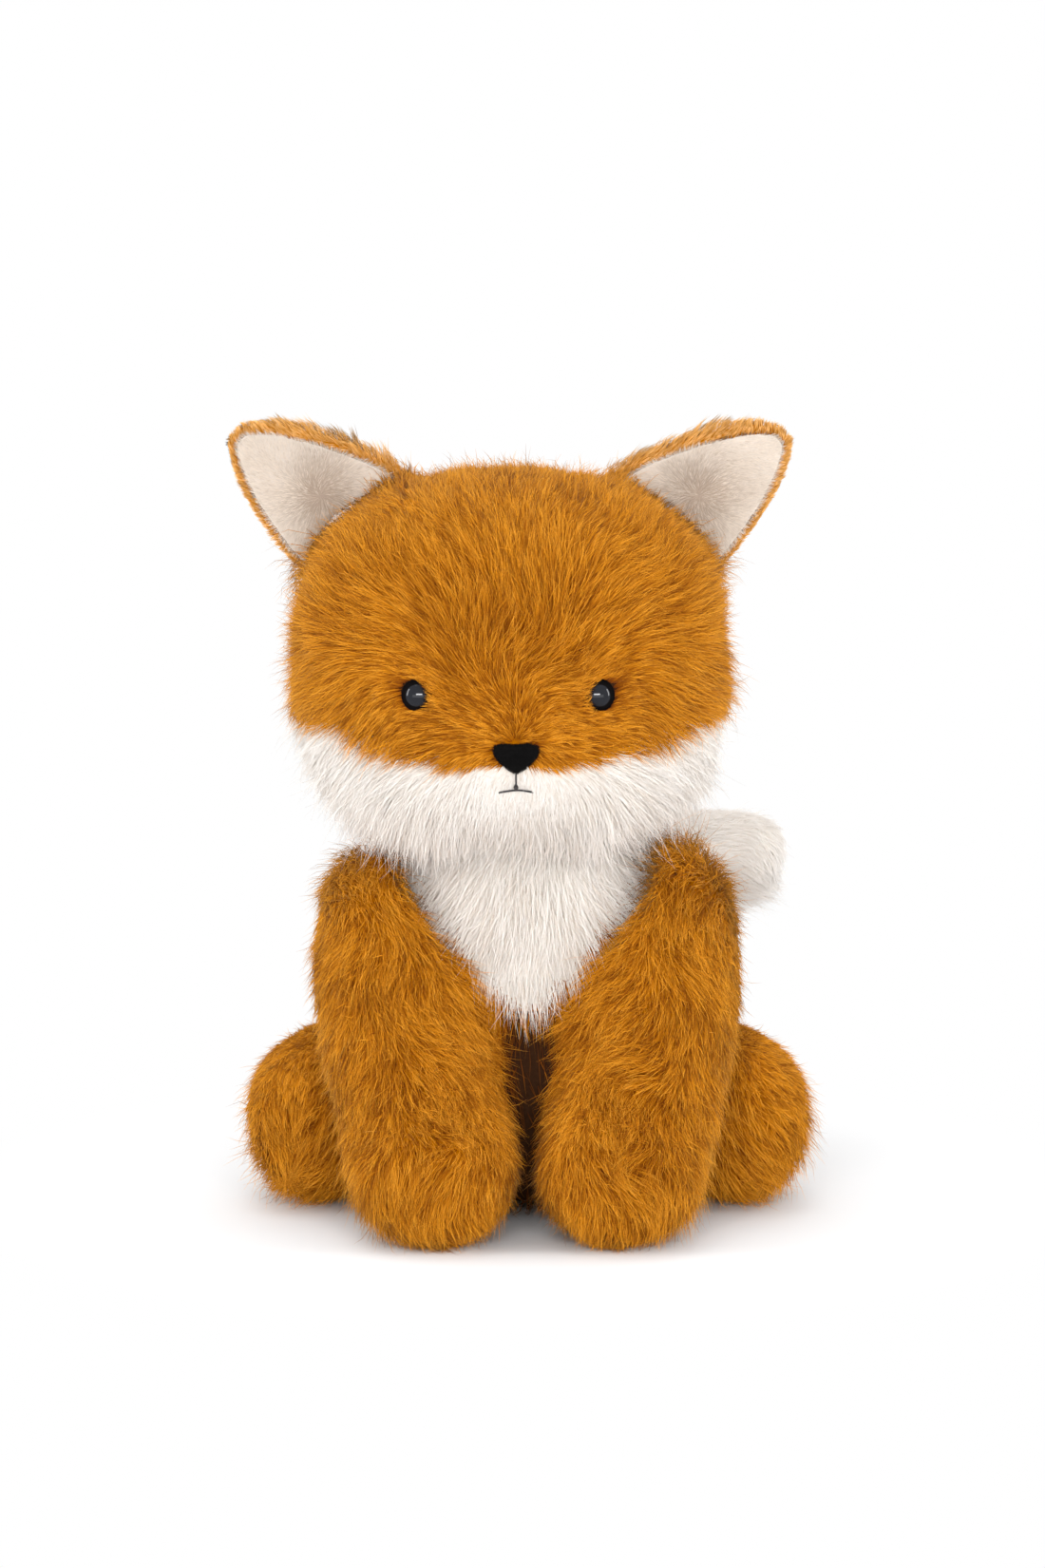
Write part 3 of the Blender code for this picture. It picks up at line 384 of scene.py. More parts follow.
class Nodes:
    """The node tree of a new material or world, with short calls to add and feed nodes."""

    def __init__(self, name, kind="materials"):
        self.made = getattr(bpy.data, kind).new(name)
        self.made.use_nodes = True
        self.tree = self.made.node_tree

    def feed(self, node, inputs):
        """Links or sets a node's inputs, named or numbered."""
        for name, value in inputs.items():
            socket = node.inputs[name]
            if isinstance(value, bpy.types.NodeSocket):
                self.tree.links.new(value, socket)
            elif isinstance(value, tuple):
                socket.default_value = (*value, 1)
            else:
                socket.default_value = value

    def add(self, kind, inputs=None, **settings):
        node = self.tree.nodes.new(kind)
        for name, value in settings.items():
            setattr(node, name, value)
        self.feed(node, inputs or {})
        return node.outputs

    def surface(self, **inputs):
        """Feeds the material's shader; the inputs' names have _ for a space."""
        shader = self.tree.nodes["Principled BSDF"]
        self.feed(shader, {name.replace("_", " "): value for name, value in inputs.items()})

    def ramp(self, source, stops):
        """A colour ramp read from source; stops are (position, linear colour)."""
        node = self.tree.nodes.new("ShaderNodeValToRGB")
        elements = node.color_ramp.elements
        while len(elements) < len(stops):
            elements.new(0.5)
        for element, (position, colour) in zip(elements, stops):
            element.position = position
            element.color = (*colour, 1)
        self.feed(node, {"Fac": source})
        return node.outputs["Color"]

    def mix(self, factor, first, second, blend="MIX"):
        inputs = {0: factor, 6: first, 7: second}
        return self.add("ShaderNodeMix", inputs, data_type="RGBA", blend_type=blend)[2]

    def maths(self, operation, first, second):
        return self.add("ShaderNodeMath", {0: first, 1: second}, operation=operation)["Value"]

    def uv_parts(self, uv_map):
        """Both coordinates of a UV map, as outputs X and Y."""
        uv = self.add("ShaderNodeUVMap", uv_map=uv_map)
        return self.add("ShaderNodeSeparateXYZ", {"Vector": uv["UV"]})

    def noise(self, scale, detail, roughness=0.5):
        place = self.add("ShaderNodeTexCoord")["Object"]
        return self.add("ShaderNodeTexNoise", {
            "Scale": scale, "Detail": detail, "Roughness": roughness, "Vector": place,
        })["Fac"]

    def mottled(self, scale, detail, low, high, roughness=0.5):
        """Colours the surface between two (position, colour) stops and returns the noise that does it."""
        speckle = self.noise(scale, detail, roughness)
        self.surface(Base_Color=self.ramp(speckle, (low, high)))
        return speckle

    def bump(self, height, strength, distance):
        bumps = self.add("ShaderNodeBump", {"Strength": strength, "Distance": distance, "Height": height})
        self.surface(Normal=bumps["Normal"])


def strand_material(name, root, middle, tip, deep_tint, pale_tint, sheen, pale_sheen=(1.0, 1.0, 1.0)):
    """Pile that runs from its root's colour to its tip's, and differs a little from strand to strand."""
    nodes = Nodes(name)
    strand = nodes.uv_parts("OFBake")
    along = nodes.ramp(strand["Y"], ((0.0, root), (0.45, middle), (1.0, tip)))
    # The lowest tints are painted shade, for the gap between the front legs
    tints = ((0.0, PAINTED_GAP_SHADE), (GAP_SHARE, deep_tint), (0.5, (1.0, 1.0, 1.0)), (1.0, pale_tint))
    tint = nodes.ramp(strand["X"], tints)
    nodes.surface(Base_Color=nodes.mix(1.0, along, tint, "MULTIPLY"), Roughness=0.62, Sheen_Weight=sheen,
                  Sheen_Roughness=0.5, Sheen_Tint=pale_sheen, Specular_IOR_Level=0.05)
    return nodes.made


def skin_material(name, colour):
    """The knitted backing under the pile."""
    nodes = Nodes(name)
    paler = tuple(min(1, c * 1.25) for c in colour)
    knit = nodes.mottled(900, 3, (0.35, colour), (0.7, paler))
    nodes.bump(knit, strength=0.4, distance=0.0004)
    nodes.surface(Roughness=0.9, Specular_IOR_Level=0.0)
    return nodes.made


def minky_material():
    """Short smooth cream pile, brushed here and there, with a greyer hollow."""
    nodes = Nodes("cream_minky")
    brushed = nodes.ramp(nodes.noise(95, 3), ((0.3, (0.60, 0.51, 0.43)), (0.62, (0.70, 0.62, 0.55))))
    hollow = nodes.uv_parts("hollow")["X"]
    nodes.surface(Base_Color=nodes.mix(hollow, brushed, (0.36, 0.28, 0.22)), Roughness=0.8,
                  Sheen_Weight=0.35, Sheen_Roughness=0.4)
    nodes.bump(nodes.noise(2200, 2), strength=0.35, distance=0.0003)
    return nodes.made


def eye_material(name, roughness, specular, pale):
    """Black moulded plastic, polished on the front and duller round its rim."""
    nodes = Nodes(name)
    nodes.mottled(400, 2, (0.3, tuple(c * 0.8 for c in pale)), (0.7, pale))
    nodes.surface(Roughness=roughness, Specular_IOR_Level=specular)
    return nodes.made


def flock_material():
    nodes = Nodes("black_flock")
    speckle = nodes.mottled(3500, 3, (0.3, (0.002, 0.002, 0.002)), (0.75, (0.008, 0.007, 0.007)), 0.7)
    nodes.bump(speckle, strength=0.9, distance=0.0005)
    nodes.surface(Roughness=0.95, Specular_IOR_Level=0.1)
    return nodes.made


def thread_material():
    nodes = Nodes("dark_thread")
    fibre = nodes.mottled(6000, 2, (0.3, (0.008, 0.007, 0.008)), (0.7, (0.035, 0.03, 0.032)))
    nodes.bump(fibre, strength=0.5, distance=0.0002)
    nodes.surface(Roughness=0.6)
    return nodes.made


def plain_material(name, colour, roughness, scale):
    """An unseen inner piece: a slightly mottled moulding or wadding."""
    nodes = Nodes(name)
    paler = tuple(min(1, c * 1.12) for c in colour)
    mottle = nodes.mottled(scale, 3, (0.3, colour), (0.7, paler))
    nodes.bump(mottle, strength=0.3, distance=0.0004)
    nodes.surface(Roughness=roughness)
    return nodes.made


# Skins


def welded(nodes):
    """The CAD pieces' meshes as one mesh."""
    bm = bmesh.new()
    for node in nodes:
        bm.from_mesh(frame["nodes"][node].data)
    return mesh_from(bm, "welded")


def mesh_from(bm, name):
    mesh = bpy.data.meshes.new(name)
    bm.to_mesh(mesh)
    bm.free()
    return mesh


def outer_shell(mesh):
    """Leaves the largest loose piece of a mesh: its outer shell, without what is closed in."""
    bm = bmesh.new()
    bm.from_mesh(mesh)
    left = set(bm.verts)
    shells = []
    while left:
        shell = set()
        open_ends = [next(iter(left))]
        while open_ends:
            vertex = open_ends.pop()
            if vertex not in shell:
                shell.add(vertex)
                open_ends.extend(edge.other_vert(vertex) for edge in vertex.link_edges)
        left -= shell
        shells.append(shell)
    largest = max(shells, key=len)
    bmesh.ops.delete(bm, geom=[v for v in bm.verts if v not in largest], context="VERTS")
    bm.to_mesh(mesh)
    bm.free()
    return mesh


def soft_form(name, nodes, voxel=SKIN_VOXEL, rounds=SKIN_SMOOTHING):
    """One closed, smooth form around several CAD pieces."""
    made = added(name, welded(nodes))
    remesh = made.modifiers.new("remesh", "REMESH")
    remesh.mode = "VOXEL"
    remesh.voxel_size = voxel
    smooth = made.modifiers.new("smooth", "SMOOTH")
    smooth.factor = 0.5
    smooth.iterations = rounds
    graph = bpy.context.evaluated_depsgraph_get()
    mesh = bpy.data.meshes.new_from_object(made.evaluated_get(graph))
    made.modifiers.clear()
    made.data = outer_shell(mesh)
    made.data.name = name
    made.data.shade_smooth()
    return made


def hug(form, tree, near):
    """Draws a smoothed form back onto the CAD surface by a share for each point."""
    places = vertex_places(form.data)
    shares = near(places)
    for index in np.nonzero(shares)[0]:
        where, _, _, _ = tree.find_nearest(Vector(places[index]))
        places[index] += (np.array(where) - places[index]) * shares[index]
    move_vertices(form.data, places)


def near_features(points):
    """How near a point is to the nose, the mouth or an eye, from 0 to 1."""
    nose = distance(points, (NOSE_SIDE, MOUTH_FRONT, NOSE_HEIGHT - BELOW_NOSE))
    eye = to_an_eye(points)
    return np.maximum(within(nose, *HUGS_NOSE), within(eye, *HUGS_EYE))


def tree_of(forms):
    """One search tree for several forms."""
    places = []
    faces = []
    for form in forms:
        start = len(places)
        places.extend(v.co for v in form.data.vertices)
        faces.extend(tuple(start + i for i in p.vertices) for p in form.data.polygons)
    return BVHTree.FromPolygons(places, faces)


def clearance_to(tree, points):
    """How far each point is outside the tree's surface; inside it the distance is negative."""
    found = np.empty(len(points))
    for index, point in enumerate(points):
        where, normal, _, gap = tree.find_nearest(Vector(point))
        outside = (Vector(point) - where).dot(normal) >= 0
        found[index] = gap if outside else -gap
    return found


class Skin:
    """A form that pile grows on, and how much room its points have from the neighbouring forms.

    The form is sunk under its pile: by a share of the pile's length where it is free, and by almost
    nothing where it meets a neighbour.
    """

    def __init__(self, form, others, length, sink=SKIN_SINK):
        mesh = form.data
        places = vertex_places(mesh)
        self.normals = values_of(mesh.vertex_normals, "vector", 3)
        self.neighbours = tree_of(others)
        self.room = clearance_to(self.neighbours, places)
        free = smoothstep(self.room, TOUCHING, CLEAR_OF_OTHERS)
        sunk = np.minimum(sink * length(places), DEEPEST_SINK)
        depth = SKIN_SEAM_SINK + np.maximum(sunk - SKIN_SEAM_SINK, 0) * free
        move_vertices(mesh, places - self.normals * depth[:, None])
        self.places = vertex_places(mesh)
        mesh.calc_loop_triangles()
        self.triangles = values_of(mesh.loop_triangles, "vertices", 3, np.int32)

    def roots(self, count, openness):
        """Evenly scattered points with their normals. openness is each vertex's share of pile."""
        corners = self.places[self.triangles]
        area = np.linalg.norm(np.cross(corners[:, 1] - corners[:, 0], corners[:, 2] - corners[:, 0]), axis=1)
        reach = np.cumsum(area * openness[self.triangles].mean(1))
        picks = (np.arange(count) + rng.random(count)) / count * reach[-1]
        faces = self.triangles[np.searchsorted(reach, picks).clip(0, len(reach) - 1)]
        first = rng.random(count)
        second = rng.random(count)
        over = first + second > 1
        first[over] = 1 - first[over]
        second[over] = 1 - second[over]
        shares = np.stack((1 - first - second, first, second), 1)[:, :, None]
        points = (self.places[faces] * shares).sum(1)
        normals = unit((self.normals[faces] * shares).sum(1))
        return points, normals


# Pile


@dataclass
class Layer:
    """One kind of strand in a coat. Its numbers multiply or add to the groom's."""

    name: str
    share: float
    length: float
    width: float
    steps: int
    lift: float
    stray: float
    clump: float
    deep: float = 0


LAYERS = (
    Layer("underfur", share=0.26, length=0.72, width=0.0003, steps=2, lift=10, stray=2, clump=0.5, deep=0.08),
    Layer("pile", share=0.60, length=1.0, width=0.00018, steps=2, lift=0, stray=1.0, clump=1.0),
    Layer("wisps", share=0.14, length=1.25, width=0.00014, steps=3, lift=6, stray=1.5, clump=0.3, deep=-0.16),
)
EAR_LAYER = Layer("ear", share=1.0, length=1.0, width=0.00020, steps=2, lift=0, stray=1.0, clump=1.0)
FUZZ_LAYER = Layer("fuzz", share=1.0, length=1.0, width=0.00012, steps=2, lift=0, stray=1.0, clump=1.0)


@dataclass
class Groom:
    """How a region's pile lies: its lift in degrees, how it bends over, strays, clumps and waves."""

    lift: float = 48
    bend: float = 0.8
    stray: float = 0.2
    clump: float = 0.5
    clump_size: float = 0.0016
    tuft: float = 0.3
    tuft_size: float = 0.010
    wave: float = 0.35
    wave_size: float = 0.018
    hang: float = 0.2
    seed: int = 1


def gathered(strands, spacing, strength, seed):
    """Draws each strand towards the nearest of a thinned-out set of strands, most at its tip."""
    roots = strands[:, 0]
    picker = np.random.default_rng(seed)
    extent = np.ptp(roots, axis=0)
    area = 2 * (extent[0] * extent[1] + extent[1] * extent[2] + extent[0] * extent[2])
    count = int(min(len(roots) / 3, max(8, area / spacing**2)))
    leaders = picker.choice(len(roots), count, replace=False)
    tree = KDTree(count)
    for index, leader in enumerate(leaders):
        tree.insert(roots[leader], index)
    tree.balance()
    nearest = leaders[[tree.find(root)[1] for root in roots]]
    power = picker.uniform(0.3, 1.0, len(roots))[nearest] * strength
    shares = np.linspace(0, 1, strands.shape[1]) ** 1.3
    pull = power[:, None, None] * shares[None, :, None]
    return strands + (strands[nearest] - strands) * pull, nearest


def grown(points, normals, flow, lengths, groom, layer, low=1, calm=1):
    """The strands as an array of (strand, step, xyz), and the number of the lock that each is in.

    low multiplies the strands' lift and calm how much they clump.
    """
    count = len(points)
    steps = layer.steps
    turn = groom.wave * waves(points, groom.wave_size, groom.seed)
    across = np.cross(normals, flow)
    flow = unit(flow * np.cos(turn)[:, None] + across * np.sin(turn)[:, None])
    lift = math.radians(groom.lift) + math.radians(layer.lift)
    lift = lift * (1 + 0.3 * waves(points, groom.wave_size * 0.7, groom.seed + 50))
    lift = (lift + rng.normal(0, 0.6 * groom.stray * layer.stray, count)) * low
    side = rng.normal(0, groom.stray * layer.stray, (count, 3))
    lengths = lengths * layer.length * rng.uniform(*LENGTH_RANGE, count)
    strands = np.empty((count, steps + 1, 3))
    strands[:, 0] = points
    for step in range(1, steps + 1):
        share = (step - 0.5) / steps
        rise = lift * (1 - groom.bend * share)
        heading = flow * np.cos(rise)[:, None] + normals * np.sin(rise)[:, None]
        heading = unit(heading + (side + DOWN * groom.hang) * share)
        strands[:, step] = strands[:, step - 1] + heading * (lengths / steps)[:, None]
    strands, _ = gathered(strands, groom.tuft_size, groom.tuft * layer.clump * calm, groom.seed + 1)
    strands, locks = gathered(strands, groom.clump_size, groom.clump * layer.clump * calm, groom.seed + 2)
    strands[:, :, 2] = np.maximum(strands[:, :, 2], FLOOR_PILE * rng.uniform(0.3, 2.0, (count, 1)))
    return strands, locks


def strand_mesh(name, strands, normals, width, tints):
    """Three-sided tapering strands, lit mostly as the surface that they grow on."""
    count, rings, _ = strands.shape
    last = rings - 1
    along = unit(strands[:, last] - strands[:, 0])
    flat = unit(np.cross(along, normals))
    upright = np.cross(flat, along)
    twist = rng.uniform(0, math.tau, count)
    widths = width * rng.uniform(*WIDTH_RANGE, count)
    stride = 3 * last + 1
    places = np.empty((count, stride, 3))
    shading = np.empty((count, stride, 3))
    uv = np.empty((count, stride, 2))
    for corner in range(3):
        angle = (twist + corner * math.tau / 3)[:, None]
        outward = flat * np.cos(angle) + upright * np.sin(angle)
        tint = tints + TINT_SPREAD * (corner - 1)
        for ring in range(last):
            share = ring / last
            radius = (widths * (1 - STRAND_TAPER * share**1.5) / math.sqrt(3))[:, None]
            at = 3 * ring + corner
            places[:, at] = strands[:, ring] + outward * radius
            shading[:, at] = unit(normals + ROUND_SHADING * outward)
            uv[:, at] = np.stack((tint, np.full(count, share)), 1)
    places[:, stride - 1] = strands[:, last]
    shading[:, stride - 1] = normals
    uv[:, stride - 1] = np.stack((tints, np.ones(count)), 1)
    pattern = []
    for corner in range(3):
        beside = (corner + 1) % 3
        for ring in range(last - 1):
            low = 3 * ring
            pattern += [(low + beside, low + corner, low + 3 + corner),
                        (low + beside, low + 3 + corner, low + 3 + beside)]
        top = 3 * (last - 1)
        pattern.append((top + beside, top + corner, stride - 1))
    corners = (np.array(pattern)[None] + (np.arange(count) * stride)[:, None, None]).reshape(-1)
    mesh = bpy.data.meshes.new(name)
    mesh.vertices.add(count * stride)
    mesh.vertices.foreach_set("co", places.ravel())
    mesh.loops.add(len(corners))
    mesh.loops.foreach_set("vertex_index", corners.astype(np.int32))
    mesh.polygons.add(len(corners) // 3)
    mesh.polygons.foreach_set("loop_start", np.arange(0, len(corners), 3, dtype=np.int32))
    layer = mesh.uv_layers.new(name="OFBake", do_init=False)
    layer.uv.foreach_set("vector", uv.reshape(-1, 2)[corners].ravel())
    mesh.update(calc_edges=True)
    mesh.shade_smooth()
    mesh.normals_split_custom_set_from_vertices(shading.reshape(-1, 3))
    return mesh


def plant(name, strands, normals, locks, width, material, body, lean=LOCK_LEAN, deep=0):
    """Adds strands as pieces that ride on a body. Each lock has a tint and a lean of its own.

    deep moves the tints towards the deep end, and only where it is high as far as the painted shade of a gap.
    """
    count = len(strands)
    lock_count = locks.max() + 1
    tints = 0.5 + WAVE_TINT * waves(strands[:, 0], TINT_WAVE, 77) + rng.normal(0, STRAND_TINT, count)
    tints = tints + rng.normal(0, LOCK_TINT * lean / LOCK_LEAN, lock_count)[locks] - deep
    normals = unit(normals + rng.normal(0, lean, (lock_count, 3))[locks])
    lowest = 2 * TINT_SPREAD + GAP_SHARE * within(deep, 0.35, 0.75)
    tints = np.clip(tints, lowest, 1 - 2 * TINT_SPREAD)
    faces = 6 * strands.shape[1] - 9
    pieces = math.ceil(count * faces / FACES_IN_A_PIECE)
    order = rng.permutation(count)
    for index, chosen in enumerate(np.array_split(order, pieces)):
        label = f"{name}_{index + 1}" if pieces > 1 else name
        mesh = strand_mesh(label, strands[chosen], normals[chosen], width, tints[chosen])
        mesh.materials.append(material)
        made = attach(added(label, mesh), body)


def from_the_middle(points):
    """The level direction away from the fox's middle."""
    return unit(points * FLAT)


def coat(skin, body, count, openness, flow, length, groom, is_white=None, trim=None, parting=None, deep=None,
         facing=from_the_middle):
    """Grows every layer of a body's pile in its one or two colours.

    It is denser where it is short. parting adds to how upright it stands and deep to how dark it is, and
    below 0 they take away. The pile is lit a little as if it faced the way that facing says.
    """
    openness = openness * np.clip(FULL_PILE / length(skin.places), 1, 3) ** 1.3
    for layer in LAYERS:
        points, normals = skin.roots(round(count * layer.share), openness)
        white = is_white(points) if is_white else np.zeros(len(points), bool)
        low = np.where(white, WHITE_LIFT_SHARE, 1)
        if parting:
            low = low + PARTING_LIFT * parting(points)
        calm = np.where(white, WHITE_CLUMP_SHARE, 1)
        lie = flow(points, normals)
        strands, locks = grown(points, normals, lie, length(points), groom, layer, low, calm)
        keep = ~trim(strands) if trim else np.ones(len(points), bool)
        beside = within(clearance_to(skin.neighbours, points), *BESIDE_NEIGHBOUR)
        outward = facing(points)
        outward = outward * (OUTWARD_SHADING + BESIDE_SHADING * beside)[:, None]
        shading = unit(normals + outward)
        for colour, chosen in (("orange", keep & ~white), ("white", keep & white)):
            if chosen.any():
                lean = LOCK_LEAN * (WHITE_CLUMP_SHARE if colour == "white" else 1)
                depth = layer.deep + (deep(points[chosen]) if deep else 0)
                plant(f"{body}_{colour}_{layer.name}", strands[chosen], shading[chosen], locks[chosen],
                      layer.width, pile_colours[colour], body, lean, depth)


# Flows: which way the pile lies


def head_flow(points, normals):
    """Away from the nose over the face and crown, and down at the back and under the cheeks."""
    x, y, z = points.T
    away = unit(points - np.array((NOSE_SIDE, PARTING_FRONT, NOSE_HEIGHT + PARTING_RISE)))
    back = smoothstep(y, *BACK_OF_HEAD)[:, None]
    low = below(z, *JAW_FLOW)[:, None]
    across = np.abs(x - HEAD_MIDDLE)
    cheek = smoothstep(across, *CHEEK_ACROSS) * below(z, *CHEEK_FLOW)
    droop = np.maximum(1.3 * low, 0.55 * cheek[:, None])
    return along_surface(away * (1 - 0.85 * back) + DOWN * (back + droop), normals)


def body_flow(points, normals):
    """Down, and spreading towards the sides at the chest's top."""
    x, _, z = points.T
    side = np.sign(x) * smoothstep(np.abs(x), *CHEST_SIDES)
    spread = side * smoothstep(z, *CHEST_SPREAD)
    return along_surface(DOWN + spread[:, None] * np.array((1.1, 0, 0)), normals)


def limb_flow(root, end, side, normals, droop):
    """Along the limb from its root to its end, both given for the left one, hanging a little."""
    mirror = np.array((side, 1, 1))
    heading = np.array(end) * mirror - np.array(root) * mirror
    heading = heading / np.linalg.norm(heading) + np.array((0, 0, -droop))
    return along_surface(np.tile(heading, (len(normals), 1)), normals)


def paw_flow(points, normals, side):
    """Down the leg, with its inner side sweeping to the gap, its top rising and a swirl on its paw."""
    x, _, z = points.T
    leg = limb_flow(FRONT_LEG_ROOT, FRONT_LEG_END, side, normals, 0.35)
    inner = below(side * x, *LEG_INNER) * smoothstep(z, *INNER_SWEEP)
    leg = leg + np.array((-side * 0.9, 0, 0)) * inner[:, None]
    rising = SHOULDER_RISE[side] * smoothstep(z, *SHOULDER_TOP)[:, None]
    leg = along_surface(leg * (1 - rising) + np.array((-side * 0.2, -0.3, 1.0)) * rising, normals)
    away = along_surface(points - np.array(PAW_SWIRLS[side]), normals)
    around = np.cross(normals, away)
    near = 0.5 * swirl_share(points, side)[:, None]
    return along_surface(leg * (1 - near) + (0.2 * away + side * around) * near, normals)


def swirl_share(points, side):
    """How near a point is to the parting on a paw."""
    return within(distance(points, PAW_SWIRLS[side]), *SWIRL_REACH)


# Pieces


def dress(body, others, length, is_white=None, sink=SKIN_SINK):
    """A body's skin: the closed form that its pile grows on."""
    form = forms[body]
    around = [forms[name] if name in forms else frame["nodes"][name] for name in others]
    skin = Skin(form, around, length, sink)
    form.name = f"{body}_cloth"
    form.data.materials.append(orange_cloth)
    if is_white:
        form.data.materials.append(white_cloth)
        form.data.materials.append(painted_shade_cloth)
        centres = np.array([polygon.center for polygon in form.data.polygons])
        eye = to_an_eye(centres)
        # Faces round the eyes and under the bib's tip take the dark backing, which is painted shade
        dark = (eye < DARK_ROUND_EYE) | (below_the_bib(centres) > 0.4)
        kinds = np.where(dark, 2, is_white(centres))
        form.data.polygons.foreach_set("material_index", kinds.astype(np.int32))
    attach(form, body)
    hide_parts(*parts[body])
    return skin


def beside_the_ears(points):
    """How near a point is to an ear, from 0 to 1."""
    return within(np.abs(clearance_to(ears, points)), *BESIDE_EAR)


def head_length(points):
    """Short pile round the nose, the mouth and the eyes, full pile from there, and long white cheeks."""
    x, _, z = points.T
    jaw = below(z, *JAW)
    side = smoothstep(np.abs(x - HEAD_MIDDLE), *HEAD_SIDE)
    level = 0.5 + 0.5 * smoothstep(z, *SIDE_RISE) - 1.1 * smoothstep(z, *SIDE_FALL)
    edge = side * level + (1 - side) * smoothstep(z, *CROWN_START)
    full = np.where(head_is_white(points), WHITE_PILE + JAW_EXTRA * jaw, CROWN_PILE - EDGE_LESS * edge)
    full = full + EAR_EXTRA * beside_the_ears(points)
    nose = distance(points, (NOSE_SIDE, NOSE_FRONT, NOSE_HEIGHT))
    mouth = distance(points, (NOSE_SIDE, MOUTH_FRONT, MOUTH_HEIGHT))
    lengths = shortened(full, SHORT_AT_NOSE, nose, NOSE_TO_FULL)
    lengths = np.minimum(lengths, shortened(full, SHORT_AT_MOUTH, mouth, MOUTH_TO_FULL))
    return np.minimum(lengths, shortened(full, SHORT_AT_EYE, to_an_eye(points), EYE_TO_FULL))


def shortened(full, short, away, reach):
    """From the short length beside a feature to the full length away from it."""
    return short + (full - short) * smoothstep(away, *reach)


def to_an_eye(points, scale=1):
    """How far each point is from the middle of the nearer eye's seen part."""
    aside = EYE_SPACING / 2 + EYE_SEEN_SHIFT
    places = [(HEAD_MIDDLE + side * aside, EYE_FRONT, EYE_HEIGHT) for side in SIDES.values()]
    return np.min([distance(points, place, scale) for place in places], axis=0)


def head_is_white(points):
    """Below the cheek line, which rises to the far cheeks and a little right beside the nose."""
    x, y, z = points.T
    across = np.abs(x - NOSE_SIDE)
    beside_nose = smoothstep(across, *BESIDE_NOSE) * within(across, *BESIDE_NOSE_END)
    rise = CHEEK_RISE * smoothstep(across, *CHEEK_RISE_ACROSS)
    border = CHEEK_LINE + BESIDE_NOSE_RISE * beside_nose + rise
    border = border + RAGGED_CHEEK * waves(points, RAGGED_SIZE, 31)
    front = y < CHEEK_BACK - 0.5 * (CHEEK_LINE - z)
    return (z < border) & front


def body_length(points):
    x, y, z = points.T
    upper = smoothstep(z, *CHEST) * (y < 0)
    full = FULL_PILE + upper * (CHEST_EXTRA + CHEST_EDGE_EXTRA * smoothstep(np.abs(x), *CHEST_EDGE))
    return full + (UNDER_HEAD_PILE - full) * smoothstep(z, *UNDER_HEAD)


def body_is_white(points):
    """The bib: a V on the chest, wide at the neck."""
    x, y, z = points.T
    rise = (z - BIB_TIP) / (BIB_TOP - BIB_TIP)
    half = BIB_HALF_WIDTH * np.clip(rise, 0, 1.3) ** 0.65
    ragged = RAGGED_BIB * waves(points, RAGGED_SIZE, 32)
    return (np.abs(x + BIB_SHIFT) < half + ragged) & (y < 0) & (rise > 0)


def leg_length(points):
    """Longer at the leg's top and on its inner side, where it closes the gap, and shorter outside."""
    x, _, z = points.T
    inner = within(np.abs(x), *LEG_INSIDE)
    top = smoothstep(z, *LEG_TOP) * np.where(x > 0, *LEG_TOP_EXTRA)
    outer = smoothstep(np.abs(x), *LEG_OUTSIDE)
    closing = smoothstep(z, *CLOSING) - 0.4 * below(z, *CLOSING_LOW)
    return LEG_PILE + INSIDE_EXTRA * inner * closing + top - OUTSIDE_LESS * outer


def hind_length(points):
    return LEG_PILE - HIND_TOP_LESS * smoothstep(points[:, 2], *HIND_TOP)


def tail_length(points):
    hanging = below(points[:, 2], *TAIL_UNDERSIDE)
    return np.where(tail_is_white(points), TAIL_TIP_PILE + UNDERSIDE_EXTRA * hanging, TAIL_PILE)


def tail_is_white(points):
    return points[:, 0] > TAIL_SEAM


def over_the_eyes(strands):
    """Strands that cross the seen part of an eye from the front."""
    hit = np.zeros(len(strands), bool)
    for side in SIDES.values():
        centre = np.array((HEAD_MIDDLE + side * (EYE_SPACING / 2 + EYE_OPENING_SHIFT), EYE_HEIGHT))
        for step in range(strands.shape[1]):
            gap = (strands[:, step, [0, 2]] - centre) / np.array(EYE_OPENING)
            reach = 1 if step else 0.7
            hit |= (np.linalg.norm(gap, axis=1) < reach) & (strands[:, step, 1] < 0)
    return hit


def over_the_nose(strands):
    """Strands that cross the nose from the front."""
    centre = np.array((NOSE_SIDE, NOSE_HEIGHT))
    hit = np.zeros(len(strands), bool)
    for step in range(strands.shape[1]):
        gap = strands[:, step, [0, 2]] - centre
        half = NOSE_HALF_WIDTH * np.clip((gap[:, 1] + NOSE_FOOT) / NOSE_SLOPE, 0, 1) ** 0.6
        top = NOSE_TOP if step else NOSE_TOP_FOR_ROOTS
        level = (gap[:, 1] > NOSE_LOW) & (gap[:, 1] < top)
        hit |= (np.abs(gap[:, 0]) < half) & level & (strands[:, step, 1] < FACE_START)
    return hit


def head_trim(strands):
    return over_the_eyes(strands) | over_the_nose(strands)


